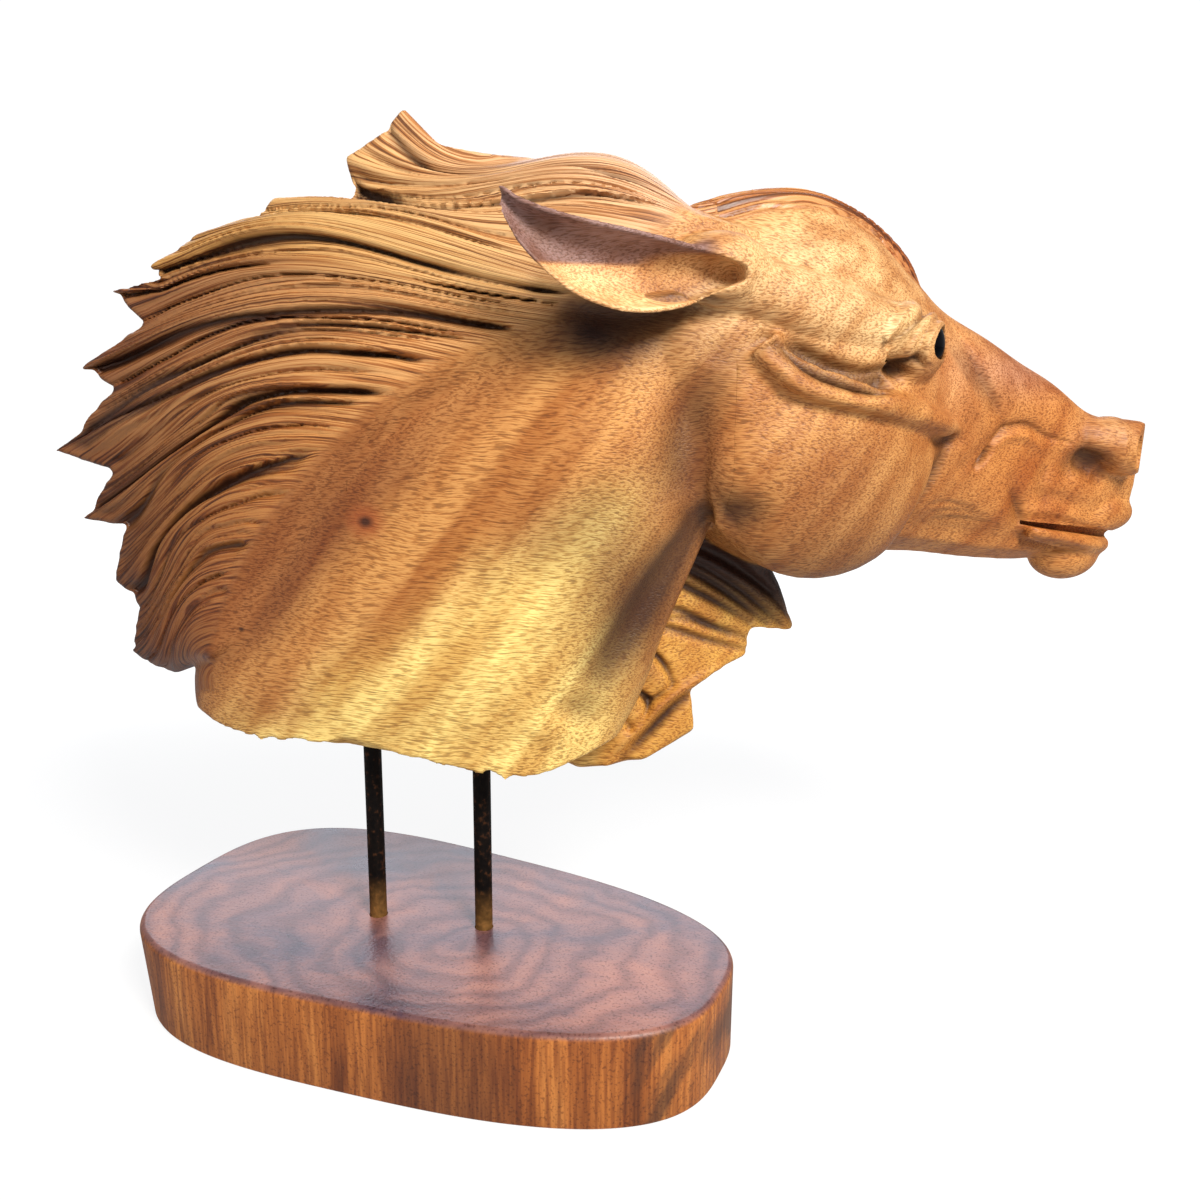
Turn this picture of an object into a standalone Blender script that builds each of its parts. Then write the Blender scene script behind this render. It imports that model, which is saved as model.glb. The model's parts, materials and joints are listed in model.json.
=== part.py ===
"""A wooden horse's head with a blown-back mane, carried by two iron rods on an oval wooden plinth.

Metres, +Z up. The origin is on the plinth's underside, below the middle of the head's carrying rods.
+X runs along the two rods towards the muzzle, and +Y is the side that the muzzle turns to.
The head is carved in its own grid: s forwards along the head, y sideways, z up from the neck's
underside. One grid step is a 275th of the head's height. A bend at the throat then turns the face.
"""

import math

import bmesh
import bpy
import numpy as np
from mathutils import Matrix, Vector

# Plinth: an egg-shaped slab with a rounded top edge, wider at its rear
PLINTH_LENGTH = 0.280
PLINTH_WIDTH = 0.152
PLINTH_THICKNESS = 0.0415
PLINTH_SQUARENESS = 2.9
PLINTH_EGG = -0.16
PLINTH_TURN = math.radians(-10.3)
PLINTH_REAR_UNDERCUT = 0.0075
PLINTH_EDGE_RADIUS = 0.003

# Rods: two lengths of round bar, set in blind bores in the plinth and in the neck
ROD_DIAMETER = 0.008
ROD_SPACING = 0.052
ROD_MIDDLE_X = -0.002
ROD_DEPTH_IN_PLINTH = 0.025
ROD_DEPTH_IN_HEAD = 0.045
FIT_CLEARANCE = 0.0003

# Head: its height without the plinth, how far it floats over the plinth, and how far the face turns
HEAD_HEIGHT = 0.275
HEAD_OVER_PLINTH = 0.082
FACE_TURN = math.radians(30.0)
STEP = HEAD_HEIGHT / 275.0
TURN_STARTS = 60.0
TURN_ENDS = 130.0

# Eyes: black beads let into round sockets
EYE_DIAMETER = 0.017
EYE_DEPTH = 0.008
EYE_DOME = 0.0045

# How finely the head is worked, and how many triangles it keeps
WORKING_GRAIN = 0.0024
SMOOTHING_PASSES = 4
HEAD_TRIANGLES = 7600

# Neck, from its underside up: height, rear end, front end, half thickness
NECK_SECTIONS = (
    (12, -110, 84, 29),
    (40, -107, 96, 33),
    (65, -86, 104, 34),
    (90, -70, 114, 34),
    (115, -52, 124, 34),
    (140, -26, 132, 34),
    (165, 8, 134, 32),
    (190, 50, 130, 30),
    (210, 76, 122, 24),
    (222, 90, 114, 14),
)
NECK_END_POWER = 0.85
NECK_SIDE_POWER = 0.55
# Underside of the neck, a chipped edge: distance along, height
UNDERSIDE = (
    (-110, 20), (-87, 12), (-62, 8), (-45, 10), (-22, 16),
    (-4, 14), (10, 6), (30, 2), (48, 1), (62, 6), (84, 19),
)

# Head from behind the poll to the muzzle: distance along, top, bottom, then half widths going up
HEAD_SECTIONS = (
    (92, 226, 150, 16, 26, 28, 22, 10),
    (108, 230, 120, 18, 30, 34, 27, 12),
    (124, 234, 101, 20, 36, 38, 31, 14),
    (142, 238, 91, 22, 40, 40, 32, 16),
    (160, 239, 88, 22, 41, 41, 32, 16),
    (176, 234, 89, 20, 38, 42, 31, 16),
    (190, 225, 92, 17, 33, 41, 30, 16),
    (201, 215, 93, 14, 29, 38, 29, 16),
    (211, 206, 92, 12, 25, 32, 28, 16),
    (224, 196, 91, 11, 21, 26, 26, 16),
    (244, 186, 88, 10, 19, 22, 24, 16),
    (262, 176, 86, 10, 18, 19, 21, 15),
    (280, 167, 85, 10, 17, 18, 20, 14),
    (298, 155, 88, 9, 16, 18, 19, 13),
    (312, 150, 95, 8, 14, 16, 17, 12),
    (328, 148, 99, 6, 11, 13, 14, 10),
)
SECTION_HEIGHTS = (0.07, 0.30, 0.55, 0.80, 0.95)

# Swellings on both sides: centre along, sideways and up, then the three radii
SWELLINGS = (
    ("jowl", 161, 24, 138, 51, 22, 51),
    ("eye rim", 196, 31, 181, 13, 12, 11),
    ("ear root", 115, 32, 208, 17, 14, 15),
    ("upper lip", 314, 7, 106.5, 17, 10, 9.5),
)
# Swellings on the middle line
MIDDLE_SWELLINGS = (
    ("chin", 302, 0, 87.5, 18, 12, 13),
    ("nose tip", 320, 0, 140, 13, 14, 10),
)

# Bars laid along both sides: points along, sideways and up, each with its radius
BROW = ((124, 30, 203, 12), (148, 31, 196, 13), (172, 32, 190, 12), (192, 33, 185, 10), (203, 30, 181, 7))
CHEEK_BONE = ((128, 37, 182, 7), (142, 42, 170, 7), (176, 44, 160, 6), (204, 35, 152, 6), (222, 26, 146, 3))
NOSTRIL = ((284, 11, 141, 9), (302, 14, 139, 12), (322, 18, 136.5, 12.5))
LOWER_LIP = ((268, 18, 101, 3), (286, 15, 97, 4), (306, 11, 93, 4.5), (320, 4, 91, 4))
# Forelock, a raised pad of hair over the forehead, on the middle line
FORELOCK = (
    (112, 0, 226, 8), (134, 0, 229, 11), (158, 0, 230, 12),
    (180, 0, 223, 12), (198, 0, 211, 11), (212, 0, 199, 7),
)

# Ear, a leaf-shaped cup: along, distance out of its rim, height, half height, depth of the cup
EAR_SECTIONS = (
    (120, 36, 207, 1.5, 2),
    (112, 41, 207, 5, 6),
    (101, 48, 206, 9, 11),
    (88, 55, 207, 11.5, 13),
    (75, 60, 211.5, 10.5, 11),
    (64, 62, 220, 6.5, 7),
    (54, 62, 232, 1.2, 2),
)
EAR_WALL = 3.2

# Mane locks from the poll down the neck. Each has its root, its tip, the arch and the wave
# of its line, and the notch that parts its tip from the next lock's
LOCKS = (
    (110, 232, -4, 273, -1.0, 10.5, -15, 262),
    (106, 228, -29, 254, 2.2, 4.5, -27, 238),
    (78, 203, -62, 239, 8.8, -2.5, -67, 233),
    (77, 201, -98, 225, 11.0, -5.0, -107, 219),
    (75, 198, -122, 212, 15.3, -7.4, -115, 204),
    (68, 190, -142, 202, 13.0, -3.4, -126, 188),
    (30, 176, -161, 168, 20.3, -0.5, -143, 160),
    (-3, 157, -178, 131, 17.5, 0.5, -147, 123),
    (-27, 138, -167, 100, 14.4, 2.0, -144, 98),
    (-58, 106, -152, 73, 11.1, 1.3, -140, 61),
    (-78, 74, -146, 39, 7.7, 2.8, -138, 34),
    (-93, 40, -124, 29, 1.0, 0.0, -113, 34),
)
MANE_ROOT_HALF = 30.0
MANE_TIP_HALF = 3.6
MANE_TAPER_POWER = 0.85
MANE_EDGE_SHARE = 0.15
MANE_TOP_ROUNDING = 1.6
MANE_END_ROUNDING = 0.3
MANE_SET_IN = 25.0
MANE_SET_IN_SHARE = 0.85
LOCK_RELIEF = 4.5
STRAND_RELIEF = 2.4
STRANDS_PER_LOCK = 4
NARROWEST_STRAND = 3.0

# Tuft below the jaw: its outline, and the sides of the slab that it is cut from
TUFT = (
    (60, 88), (90, 110), (128, 112), (150, 98), (161, 78), (169, 58), (147, 61), (146, 48), (129, 41),
    (119, 33), (121, 14), (97, 1), (66, -4), (50, 2), (40, 20),
)
TUFT_NEAR_SIDE = 3.0
TUFT_FAR_SIDE = 26.0
TUFT_EASED_SHARE = 0.94
TUFT_EASED_DEPTH = 5.0

# Cuts and ridges drawn on both sides of the head: name, points along and up, width, and height,
# which is below zero for a cut
STROKES = (
    ("brow groove", ((128, 183), (138, 180), (150, 173), (166, 168), (180, 171), (188, 176)), 5.0, -4.5),
    ("brow fold", ((136, 190), (152, 183), (168, 179), (182, 181)), 7.0, 2.0),
    ("jowl front", ((219, 145), (214, 130), (206, 115), (197, 102)), 4.5, -3.0),
    ("jowl back", ((116, 176), (108, 158), (106, 138), (110, 116)), 9.0, -3.5),
    ("nose side", ((215, 186), (226, 172), (240, 157)), 5.0, -2.2),
    ("nostril back", ((296, 122), (304, 119), (314, 120)), 6.0, -4.0),
    ("face vein", ((226, 130), (236, 138), (248, 146), (260, 148), (274, 142)), 3.5, -2.2),
    ("lip fold", ((256, 124), (262, 112), (266, 100)), 5.0, -1.8),
    ("jaw line", ((206, 108), (236, 104), (262, 98)), 6.0, -1.6),
    ("throat", ((72, 36), (86, 62), (100, 88), (112, 106), (122, 116)), 9.0, -8.0),
    ("throat ridge", ((62, 26), (80, 52), (94, 84), (106, 108)), 8.0, 2.5),
)

# Mouth: the slit on each side, from its corner to the lips
MOUTH_CORNER = (266.0, 105.0)
MOUTH_FRONT = (338.0, 93.5)
MOUTH_GAPE = 3.2
MOUTH_CORE = 7.0
NOSTRIL_HOLE = (330, 23, 136.5, 14, 9, 9.5)
EYE_PLACE = (197.0, 182.0)
EYE_OUT = 42.0
EYE_FORWARD = math.radians(36.0)


def clear_scene():
    for old in list(bpy.data.objects):
        bpy.data.objects.remove(old, do_unlink=True)


def finish(name, colour, roughness, metallic=0.0):
    """A plain material of one colour."""
    material = bpy.data.materials.new(name)
    material.use_nodes = True
    surface = material.node_tree.nodes["Principled BSDF"]
    surface.inputs["Base Color"].default_value = (*colour, 1.0)
    surface.inputs["Roughness"].default_value = roughness
    surface.inputs["Metallic"].default_value = metallic
    material.diffuse_color = (*colour, 1.0)
    return material


def add_object(name, points, faces, material=None):
    mesh = bpy.data.meshes.new(name)
    mesh.from_pydata([tuple(point) for point in points], [], [tuple(face) for face in faces])
    mesh.update()
    piece = bpy.data.objects.new(name, mesh)
    bpy.context.scene.collection.objects.link(piece)
    if material is not None:
        mesh.materials.append(material)
    return piece


def face_outwards(mesh):
    shape = bmesh.new()
    shape.from_mesh(mesh)
    bmesh.ops.recalc_face_normals(shape, faces=shape.faces)
    shape.to_mesh(mesh)
    shape.free()


def cutter(name, points, faces):
    piece = add_object(name, points, faces)
    face_outwards(piece.data)
    piece.hide_render = True
    piece.display_type = "WIRE"
    return piece


def cut(piece, tool):
    boolean = piece.modifiers.new(tool.name, "BOOLEAN")
    boolean.operation = "DIFFERENCE"
    boolean.solver = "EXACT"
    boolean.object = tool


def smooth_rows(rows, parts):
    """A Catmull-Rom curve through rows of numbers, with each span cut into equal parts."""
    rows = np.asarray(rows, float)
    padded = np.vstack([2 * rows[0] - rows[1], rows, 2 * rows[-1] - rows[-2]])
    found = []
    for before, start, end, after in zip(padded, padded[1:], padded[2:], padded[3:]):
        for u in np.arange(parts) / parts:
            bend = 2 * before - 5 * start + 4 * end - after
            rest = 3 * (start - end) + after - before
            found.append(0.5 * (2 * start + (end - before) * u + bend * u**2 + rest * u**3))
    found.append(rows[-1])
    return np.array(found)


def loft(rings):
    """Points and faces of a closed body through rings of equally many points."""
    count = len(rings[0])
    points = np.concatenate(rings)
    faces = []
    for ring in range(len(rings) - 1):
        for i in range(count):
            j = (i + 1) % count
            low = ring * count
            faces.append((low + i, low + j, low + count + j, low + count + i))
    faces.append(tuple(range(count - 1, -1, -1)))
    faces.append(tuple(range((len(rings) - 1) * count, len(rings) * count)))
    return points, faces


def ellipsoid(centre, radii, around=20, along=12):
    rings = []
    for i in range(1, along):
        tilt = math.pi * i / along
        turn = 2 * math.pi * np.arange(around) / around
        rim = math.sin(tilt)
        ring = np.stack([np.full(around, -math.cos(tilt)), rim * np.cos(turn), rim * np.sin(turn)], 1)
        rings.append(np.asarray(centre) + ring * np.asarray(radii))
    return loft(rings)


def bar(points, parts=4, around=12):
    """A round bar through points that each carry a radius."""
    rows = smooth_rows(points, parts)
    along = np.gradient(rows[:, :3], axis=0)
    along /= np.linalg.norm(along, axis=1)[:, None]
    turn = 2 * math.pi * np.arange(around) / around
    rings = []
    for row, ahead in zip(rows, along):
        side = np.cross(ahead, (0, 0, 1))
        side /= np.linalg.norm(side)
        up = np.cross(side, ahead)
        rings.append(row[:3] + row[3] * (np.cos(turn)[:, None] * side + np.sin(turn)[:, None] * up))
    return loft(rings)


def other_side(points, faces):
    return np.asarray(points) * (1, -1, 1), [tuple(reversed(face)) for face in faces]


def neck_body(around=36):
    """Upright sections, blunt in front and drawn out to the rear, on a chipped underside."""
    under = np.array(UNDERSIDE, float)
    turn = 2 * math.pi * np.arange(around) / around
    rings = []
    forwards = np.sign(np.cos(turn)) * abs(np.cos(turn)) ** NECK_END_POWER
    outwards = np.sign(np.sin(turn)) * abs(np.sin(turn)) ** NECK_SIDE_POWER
    for i, (height, rear, front, half) in enumerate(smooth_rows(NECK_SECTIONS, 3)):
        along = (front + rear) / 2 + (front - rear) / 2 * forwards
        out = half * outwards
        up = np.interp(along, under[:, 0], under[:, 1]) if i == 0 else np.full(around, height)
        rings.append(np.stack([along, out, up], 1))
    return loft(rings)


def head_body():
    """Sections across the face, each a closed curve through five widths on either side."""
    rings = []
    for row in smooth_rows(HEAD_SECTIONS, 3):
        along, top, bottom = row[:3]
        levels = bottom + (top - bottom) * np.array(SECTION_HEIGHTS)
        right = [(width, level) for width, level in zip(row[3:], levels)]
        left = [(-width, level) for width, level in reversed(right)]
        knots = np.array([(0.0, bottom), *right, (0.0, top), *left])
        knots = np.vstack([knots[-1], knots, knots[0], knots[1]])
        curve = smooth_rows(knots, 3)[3:-6]
        rings.append(np.stack([np.full(len(curve), along), curve[:, 0], curve[:, 1]], 1))
    return loft(rings)


def ear_shell(around=9):
    """A cup that opens outwards: an inner and an outer leaf joined along the rims."""
    rings = []
    sweep = np.radians(np.linspace(-82, 82, around))
    for along, out, height, half, depth in smooth_rows(EAR_SECTIONS, 3):
        wall = min(EAR_WALL, half + 0.8)
        leaves = []
        for extra in (0.0, wall):
            aside = out - (depth + extra) * np.cos(sweep)
            up = height + (half + extra) * np.sin(sweep)
            leaves.append(np.stack([np.full(around, along), aside, up], 1))
        rings.append(np.concatenate([leaves[0], leaves[1][::-1]]))
    return loft(rings)


def lock_rows():
    """Places, arches and ends of the mane along its root, with each notch as a row between two locks."""
    rows = np.array(LOCKS, float)
    places = np.arange(len(rows), dtype=float)
    ends = [(rows[0, 2:4])]
    end_places = [0.0]
    for i in range(len(rows) - 1):
        ends += [rows[i, 6:8], rows[i + 1, 2:4]]
        end_places += [i + 0.5, i + 1.0]
    return places, rows, np.array(end_places), np.array(ends)


def mane_points(place, share):
    """Where a hair is in side view: place counts the locks from the poll, share runs from root to tip."""
    places, rows, end_places, ends = lock_rows()
    root = np.stack([np.interp(place, places, rows[:, k]) for k in (0, 1)], -1)
    tip = np.stack([np.interp(place, end_places, ends[:, k]) for k in (0, 1)], -1)
    arch = np.interp(place, places, rows[:, 4])
    wave = np.interp(place, places, rows[:, 5])
    run = tip - root
    normal = np.stack([run[..., 1], -run[..., 0]], -1)
    normal /= np.linalg.norm(normal, axis=-1, keepdims=True)
    lift = arch * np.sin(np.pi * np.clip(share, 0, 1)) + wave * np.sin(2 * np.pi * np.clip(share, 0, 1))
    return root + run * share[..., None] + normal * lift[..., None]


def mane_half(place, share):
    """Half the mane's thickness: full at the hairline, thin at the tips, rounded along its top and bottom."""
    last = len(LOCKS) - 1.0
    half = MANE_TIP_HALF + (MANE_ROOT_HALF - MANE_TIP_HALF) * (1 - np.clip(share, 0, 1)) ** MANE_TAPER_POWER
    edge = np.minimum(place / MANE_TOP_ROUNDING, (last - place) / MANE_END_ROUNDING).clip(0, 1)
    rounded = np.sqrt(1 - (1 - edge) ** 2)
    return half * (MANE_EDGE_SHARE + (1 - MANE_EDGE_SHARE) * rounded)


def mane_slab(per_lock=8, along=26):
    """A closed slab between two fans of hair lines, one on each side of the head."""
    place = np.linspace(0, len(LOCKS) - 1, per_lock * (len(LOCKS) - 1) + 1)
    share = np.linspace(0, 1, along)
    place, share = np.meshgrid(place, share, indexing="ij")
    flat = mane_points(place, share)
    half = mane_half(place, share)
    inward = flat[:, 0] - flat[:, -1]
    inward *= MANE_SET_IN / np.linalg.norm(inward, axis=1, keepdims=True)
    flat = np.concatenate([(flat[:, 0] + inward)[:, None], flat], axis=1)
    half = np.concatenate([half[:, :1] * MANE_SET_IN_SHARE, half], axis=1)
    rings = []
    for row in range(place.shape[0]):
        near = np.stack([flat[row, :, 0], half[row], flat[row, :, 1]], 1)
        far = near * (1, -1, 1)
        rings.append(np.concatenate([near, far[::-1]]))
    return loft(rings)


def tuft_slab():
    """The tuft below the jaw, a slab that lies to the far side of the throat."""
    outline = np.array(TUFT, float)
    middle = outline.mean(axis=0)
    eased = middle + (outline - middle) * TUFT_EASED_SHARE
    rings = []
    for side, ring in (
        (TUFT_NEAR_SIDE, eased),
        (TUFT_NEAR_SIDE + TUFT_EASED_DEPTH, outline),
        (TUFT_FAR_SIDE - TUFT_EASED_DEPTH, outline),
        (TUFT_FAR_SIDE, eased),
    ):
        rings.append(np.stack([ring[:, 0], np.full(len(ring), side), ring[:, 1]], 1))
    return loft(rings)


def rough_parts():
    """Every volume of the head, as closed bodies that run into each other."""
    parts = [neck_body(), head_body(), mane_slab(), tuft_slab(), bar(FORELOCK)]
    for _, along, out, up, *radii in SWELLINGS:
        body = ellipsoid((along, out, up), radii)
        parts += [body, other_side(*body)]
    for _, along, out, up, *radii in MIDDLE_SWELLINGS:
        parts.append(ellipsoid((along, out, up), radii))
    for body in (bar(BROW), bar(CHEEK_BONE), bar(NOSTRIL), bar(LOWER_LIP), ear_shell()):
        parts += [body, other_side(*body)]
    return parts


def evaluated(piece):
    """Points, normals and faces of an object as its modifiers leave it."""
    shape = piece.evaluated_get(bpy.context.evaluated_depsgraph_get()).to_mesh()
    points = np.empty(len(shape.vertices) * 3)
    normals = np.empty(len(shape.vertices) * 3)
    shape.vertices.foreach_get("co", points)
    shape.vertices.foreach_get("normal", normals)
    faces = [tuple(face.vertices) for face in shape.polygons]
    return points.reshape(-1, 3), normals.reshape(-1, 3), faces


def fused_blank(grain):
    """One skin around all the rough parts, with its corners eased."""
    points, faces, start = [], [], 0
    for body_points, body_faces in rough_parts():
        points.append(body_points)
        faces += [tuple(start + i for i in face) for face in body_faces]
        start += len(body_points)
    blank = add_object("blank", np.concatenate(points), faces)
    face_outwards(blank.data)
    skin = blank.modifiers.new("skin", "REMESH")
    skin.mode = "VOXEL"
    skin.voxel_size = grain / STEP
    ease = blank.modifiers.new("ease", "SMOOTH")
    ease.factor = 0.5
    ease.iterations = SMOOTHING_PASSES
    result = evaluated(blank)
    bpy.data.objects.remove(blank, do_unlink=True)
    return result


def stroke_height(flat, path, width, height):
    """How much a stroke along a path raises each point in side view. It fades at its ends."""
    path = smooth_rows(path, 4)
    lengths = np.concatenate([[0], np.cumsum(np.linalg.norm(np.diff(path, axis=0), axis=1))])
    best = np.full(len(flat), np.inf)
    where = np.zeros(len(flat))
    for start, end, length in zip(path, path[1:], lengths):
        run = end - start
        share = np.clip(((flat - start) @ run) / (run @ run), 0, 1)
        gap = np.linalg.norm(flat - start - share[:, None] * run, axis=1)
        nearer = gap < best
        best[nearer] = gap[nearer]
        where[nearer] = length + share[nearer] * np.linalg.norm(run)
    fade = np.sin(np.pi * np.clip(where / lengths[-1], 0.08, 0.92)) ** 0.5
    return height * fade * np.exp(-((best / width) ** 2))


def hair_table():
    """A fan of points over the mane with the lock place and root-to-tip share of each."""
    place = np.linspace(0, len(LOCKS) - 1, 30 * (len(LOCKS) - 1) + 1)
    share = np.linspace(0, 1, 90)
    place, share = np.meshgrid(place, share, indexing="ij")
    flat = mane_points(place, share)
    return flat.reshape(-1, 2), place.ravel(), share.ravel()


def hair_places(flat, reach=6.0):
    """Lock place and share at points in side view, and how surely each is in the mane."""
    table, place, share = hair_table()
    cell = 2.0
    low = table.min(axis=0) - 10
    size = np.ceil((table.max(axis=0) + 10 - low) / cell).astype(int)
    index = ((table - low) / cell).astype(int)
    key = index[:, 0] * size[1] + index[:, 1]
    count = np.bincount(key, minlength=size[0] * size[1]).astype(float)
    sums = [np.bincount(key, weights=values, minlength=size[0] * size[1]) for values in (place, share)]
    count, sums = count.reshape(size), [total.reshape(size) for total in sums]
    for _ in range(int(reach / cell)):
        empty = count == 0
        spread = [np.zeros_like(count) for _ in range(3)]
        for step in ((1, 0), (-1, 0), (0, 1), (0, -1)):
            for total, source in zip(spread, (count, *sums)):
                total += np.roll(source, step, axis=(0, 1))
        for target, total in zip((count, *sums), spread):
            target[empty] = total[empty]
    spot = (flat - low) / cell - 0.5
    base = np.clip(np.floor(spot).astype(int), 0, size - 2)
    part = np.clip(spot - base, 0, 1)
    weight = np.zeros(len(flat))
    found = [np.zeros(len(flat)), np.zeros(len(flat))]
    inside = ((spot >= 0) & (spot < size - 1)).all(axis=1)
    for di in (0, 1):
        for dj in (0, 1):
            i, j = base[:, 0] + di, base[:, 1] + dj
            held = (count[i, j] > 0) * inside
            share_of = held * (part[:, 0] if di else 1 - part[:, 0]) * (part[:, 1] if dj else 1 - part[:, 1])
            weight += share_of
            for total, source in zip(found, sums):
                total += share_of * source[i, j] / np.maximum(count[i, j], 1)
    safe = np.maximum(weight, 1e-9)
    return found[0] / safe, found[1] / safe, weight


def mane_relief(flat):
    """How far the mane's surface is cut back between locks and between strands."""
    place, share, held = hair_places(flat)
    started = np.clip(share / 0.10, 0, 1) * np.clip(held * 2 - 1, 0, 1)
    between = abs((place % 1.0) - 0.5) * 2
    lock = -LOCK_RELIEF * (1 - between) ** 3 * np.clip(0.25 + share, 0, 1)
    strand = abs(((place * STRANDS_PER_LOCK) % 1.0) - 0.5) * 2
    apart = np.linalg.norm(mane_points(place + 0.05, share) - mane_points(place - 0.05, share), axis=1) / 0.1
    wide_enough = np.clip(apart / STRANDS_PER_LOCK / NARROWEST_STRAND - 1, 0, 1)
    depth = 0.65 + 0.35 * np.sin(2.4 * np.floor(place * STRANDS_PER_LOCK + 0.5))
    return (lock - STRAND_RELIEF * wide_enough * depth * (1 - strand) ** 2) * started


def carved(points, normals):
    """Points of the blank after the strokes and the mane's relief are cut."""
    flat = points[:, [0, 2]]
    move = np.zeros(len(points))
    sideways = np.clip(abs(normals[:, 1]) * 1.6, 0, 1)
    for _, path, width, height in STROKES:
        move += stroke_height(flat, path, width, height) * sideways
    move += mane_relief(flat) * np.clip(abs(normals[:, 1]) * 2, 0.25, 1)
    return points + normals * move[:, None]


def turned(points):
    """Grid points in metres on the stand, with the face bent away to the side."""
    points = np.asarray(points, float)
    radius = (TURN_ENDS - TURN_STARTS) / FACE_TURN
    angle = np.clip((points[:, 0] - TURN_STARTS) / (TURN_ENDS - TURN_STARTS), 0, 1) * FACE_TURN
    past = np.clip(points[:, 0] - TURN_ENDS, 0, None)
    before = np.minimum(points[:, 0], TURN_STARTS)
    along = before + radius * np.sin(angle) + past * np.cos(angle)
    aside = radius * (1 - np.cos(angle)) + past * np.sin(angle)
    x = along - points[:, 1] * np.sin(angle)
    y = aside + points[:, 1] * np.cos(angle)
    return np.stack([x, y, points[:, 2]], 1) * STEP + (0, 0, PLINTH_THICKNESS + HEAD_OVER_PLINTH)


def eye_pose(side):
    """Place of an eye's mouth on the head, and the way that the eye looks."""
    along, up = EYE_PLACE
    place = turned([(along, side * EYE_OUT, up)])[0]
    heading = FACE_TURN + side * (math.pi / 2 - EYE_FORWARD)
    return Vector(place), Vector((math.cos(heading), math.sin(heading), 0.05)).normalized()


def disc_rings(radius_heights, around):
    turn = 2 * math.pi * np.arange(around) / around
    return [
        np.stack([radius * np.cos(turn), radius * np.sin(turn), np.full(around, height)], 1)
        for radius, height in radius_heights
    ]


def placed(points, place, look):
    """Points made round +Z, set at a place with +Z along a look."""
    pose = Matrix.Translation(place) @ look.to_track_quat("Z", "Y").to_matrix().to_4x4()
    return [pose @ Vector(point) for point in points]


def make_eye(name, side, material):
    radius = EYE_DIAMETER / 2
    place, look = eye_pose(side)
    dome = [(radius * math.cos(a), EYE_DOME * math.sin(a)) for a in np.radians((0, 22, 45, 66, 84))]
    points, faces = loft(disc_rings([(radius, -EYE_DEPTH), *dome], 24))
    eye = add_object(name, placed(points, place, look), faces, material)
    eye.data.shade_smooth()
    return eye


def eye_socket(name, side):
    radius = EYE_DIAMETER / 2 + FIT_CLEARANCE
    place, look = eye_pose(side)
    points, faces = loft(disc_rings([(radius, -EYE_DEPTH - FIT_CLEARANCE), (radius, 3 * EYE_DEPTH)], 24))
    return cutter(name, placed(points, place, look), faces)


def mouth_slit(name, side):
    """A wedge between the lips that leaves the middle of the muzzle whole."""
    corner, front = np.array(MOUTH_CORNER), np.array(MOUTH_FRONT)
    outer = 2 * EYE_OUT
    rings = []
    for share, gape in ((0.0, 0.4), (0.25, 0.7), (1.0, 1.0)):
        along, up = corner + (front - corner) * share
        half = MOUTH_GAPE * gape / 2
        corners = ((MOUTH_CORE, -half), (outer, -half), (outer, half), (MOUTH_CORE, half))
        rings.append(np.array([(along, side * out, up + rise) for out, rise in corners]))
    points, faces = loft(rings)
    return cutter(name, turned(points), faces)


def nostril_hole(name, side):
    along, out, up, *radii = NOSTRIL_HOLE
    points, faces = ellipsoid((along, out, up), radii, 14, 8)
    if side < 0:
        points, faces = other_side(points, faces)
    return cutter(name, turned(points), faces)


def rod_ends():
    """Lower and upper end of the rods, and the heights of the bores' ends."""
    bottom = PLINTH_THICKNESS - ROD_DEPTH_IN_PLINTH
    top = PLINTH_THICKNESS + HEAD_OVER_PLINTH + ROD_DEPTH_IN_HEAD
    return bottom, top


def make_rod(name, x, material):
    bottom, top = rod_ends()
    points, faces = loft(disc_rings([(ROD_DIAMETER / 2, bottom), (ROD_DIAMETER / 2, top)], 20))
    rod = add_object(name, points + (x, 0, 0), faces, material)
    rod.data.shade_smooth()
    rod.data.set_sharp_from_angle(angle=math.radians(40))
    return rod


def rod_bore(name, x):
    """A cutter for both bores of one rod, from the plinth's blind end to the neck's."""
    bottom, top = rod_ends()
    radius = ROD_DIAMETER / 2 + FIT_CLEARANCE
    points, faces = loft(disc_rings([(radius, bottom - FIT_CLEARANCE), (radius, top + FIT_CLEARANCE)], 20))
    return cutter(name, points + (x, 0, 0), faces)


def plinth_outline(grow, around=64):
    """The plinth's egg-shaped outline, grown outwards by a distance."""
    turn = 2 * math.pi * np.arange(around) / around
    power = 2 / PLINTH_SQUARENESS
    along = np.sign(np.cos(turn)) * abs(np.cos(turn)) ** power
    across = np.sign(np.sin(turn)) * abs(np.sin(turn)) ** power
    x = (PLINTH_LENGTH / 2 + grow) * along
    y = (PLINTH_WIDTH / 2 + grow) * across * (1 + PLINTH_EGG * along)
    return np.stack([x, y], 1)


def make_plinth(material):
    rings = []
    levels = [(0.0, 0.0)]
    for angle in np.radians((0, 30, 60, 90)):
        inset = PLINTH_EDGE_RADIUS * (1 - math.cos(angle))
        levels.append((-inset, PLINTH_THICKNESS - PLINTH_EDGE_RADIUS * (1 - math.sin(angle))))
    cos, sin = math.cos(PLINTH_TURN), math.sin(PLINTH_TURN)
    for grow, height in levels:
        flat = plinth_outline(grow)
        under = (1 - height / PLINTH_THICKNESS) * PLINTH_REAR_UNDERCUT
        flat[:, 0] += under * np.clip(-flat[:, 0] / (PLINTH_LENGTH / 2), 0, 1) ** 2
        x = flat[:, 0] * cos - flat[:, 1] * sin
        y = flat[:, 0] * sin + flat[:, 1] * cos
        rings.append(np.stack([x, y, np.full(len(flat), height)], 1))
    points, faces = loft(rings)
    return add_object("plinth", points, faces, material)


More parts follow.
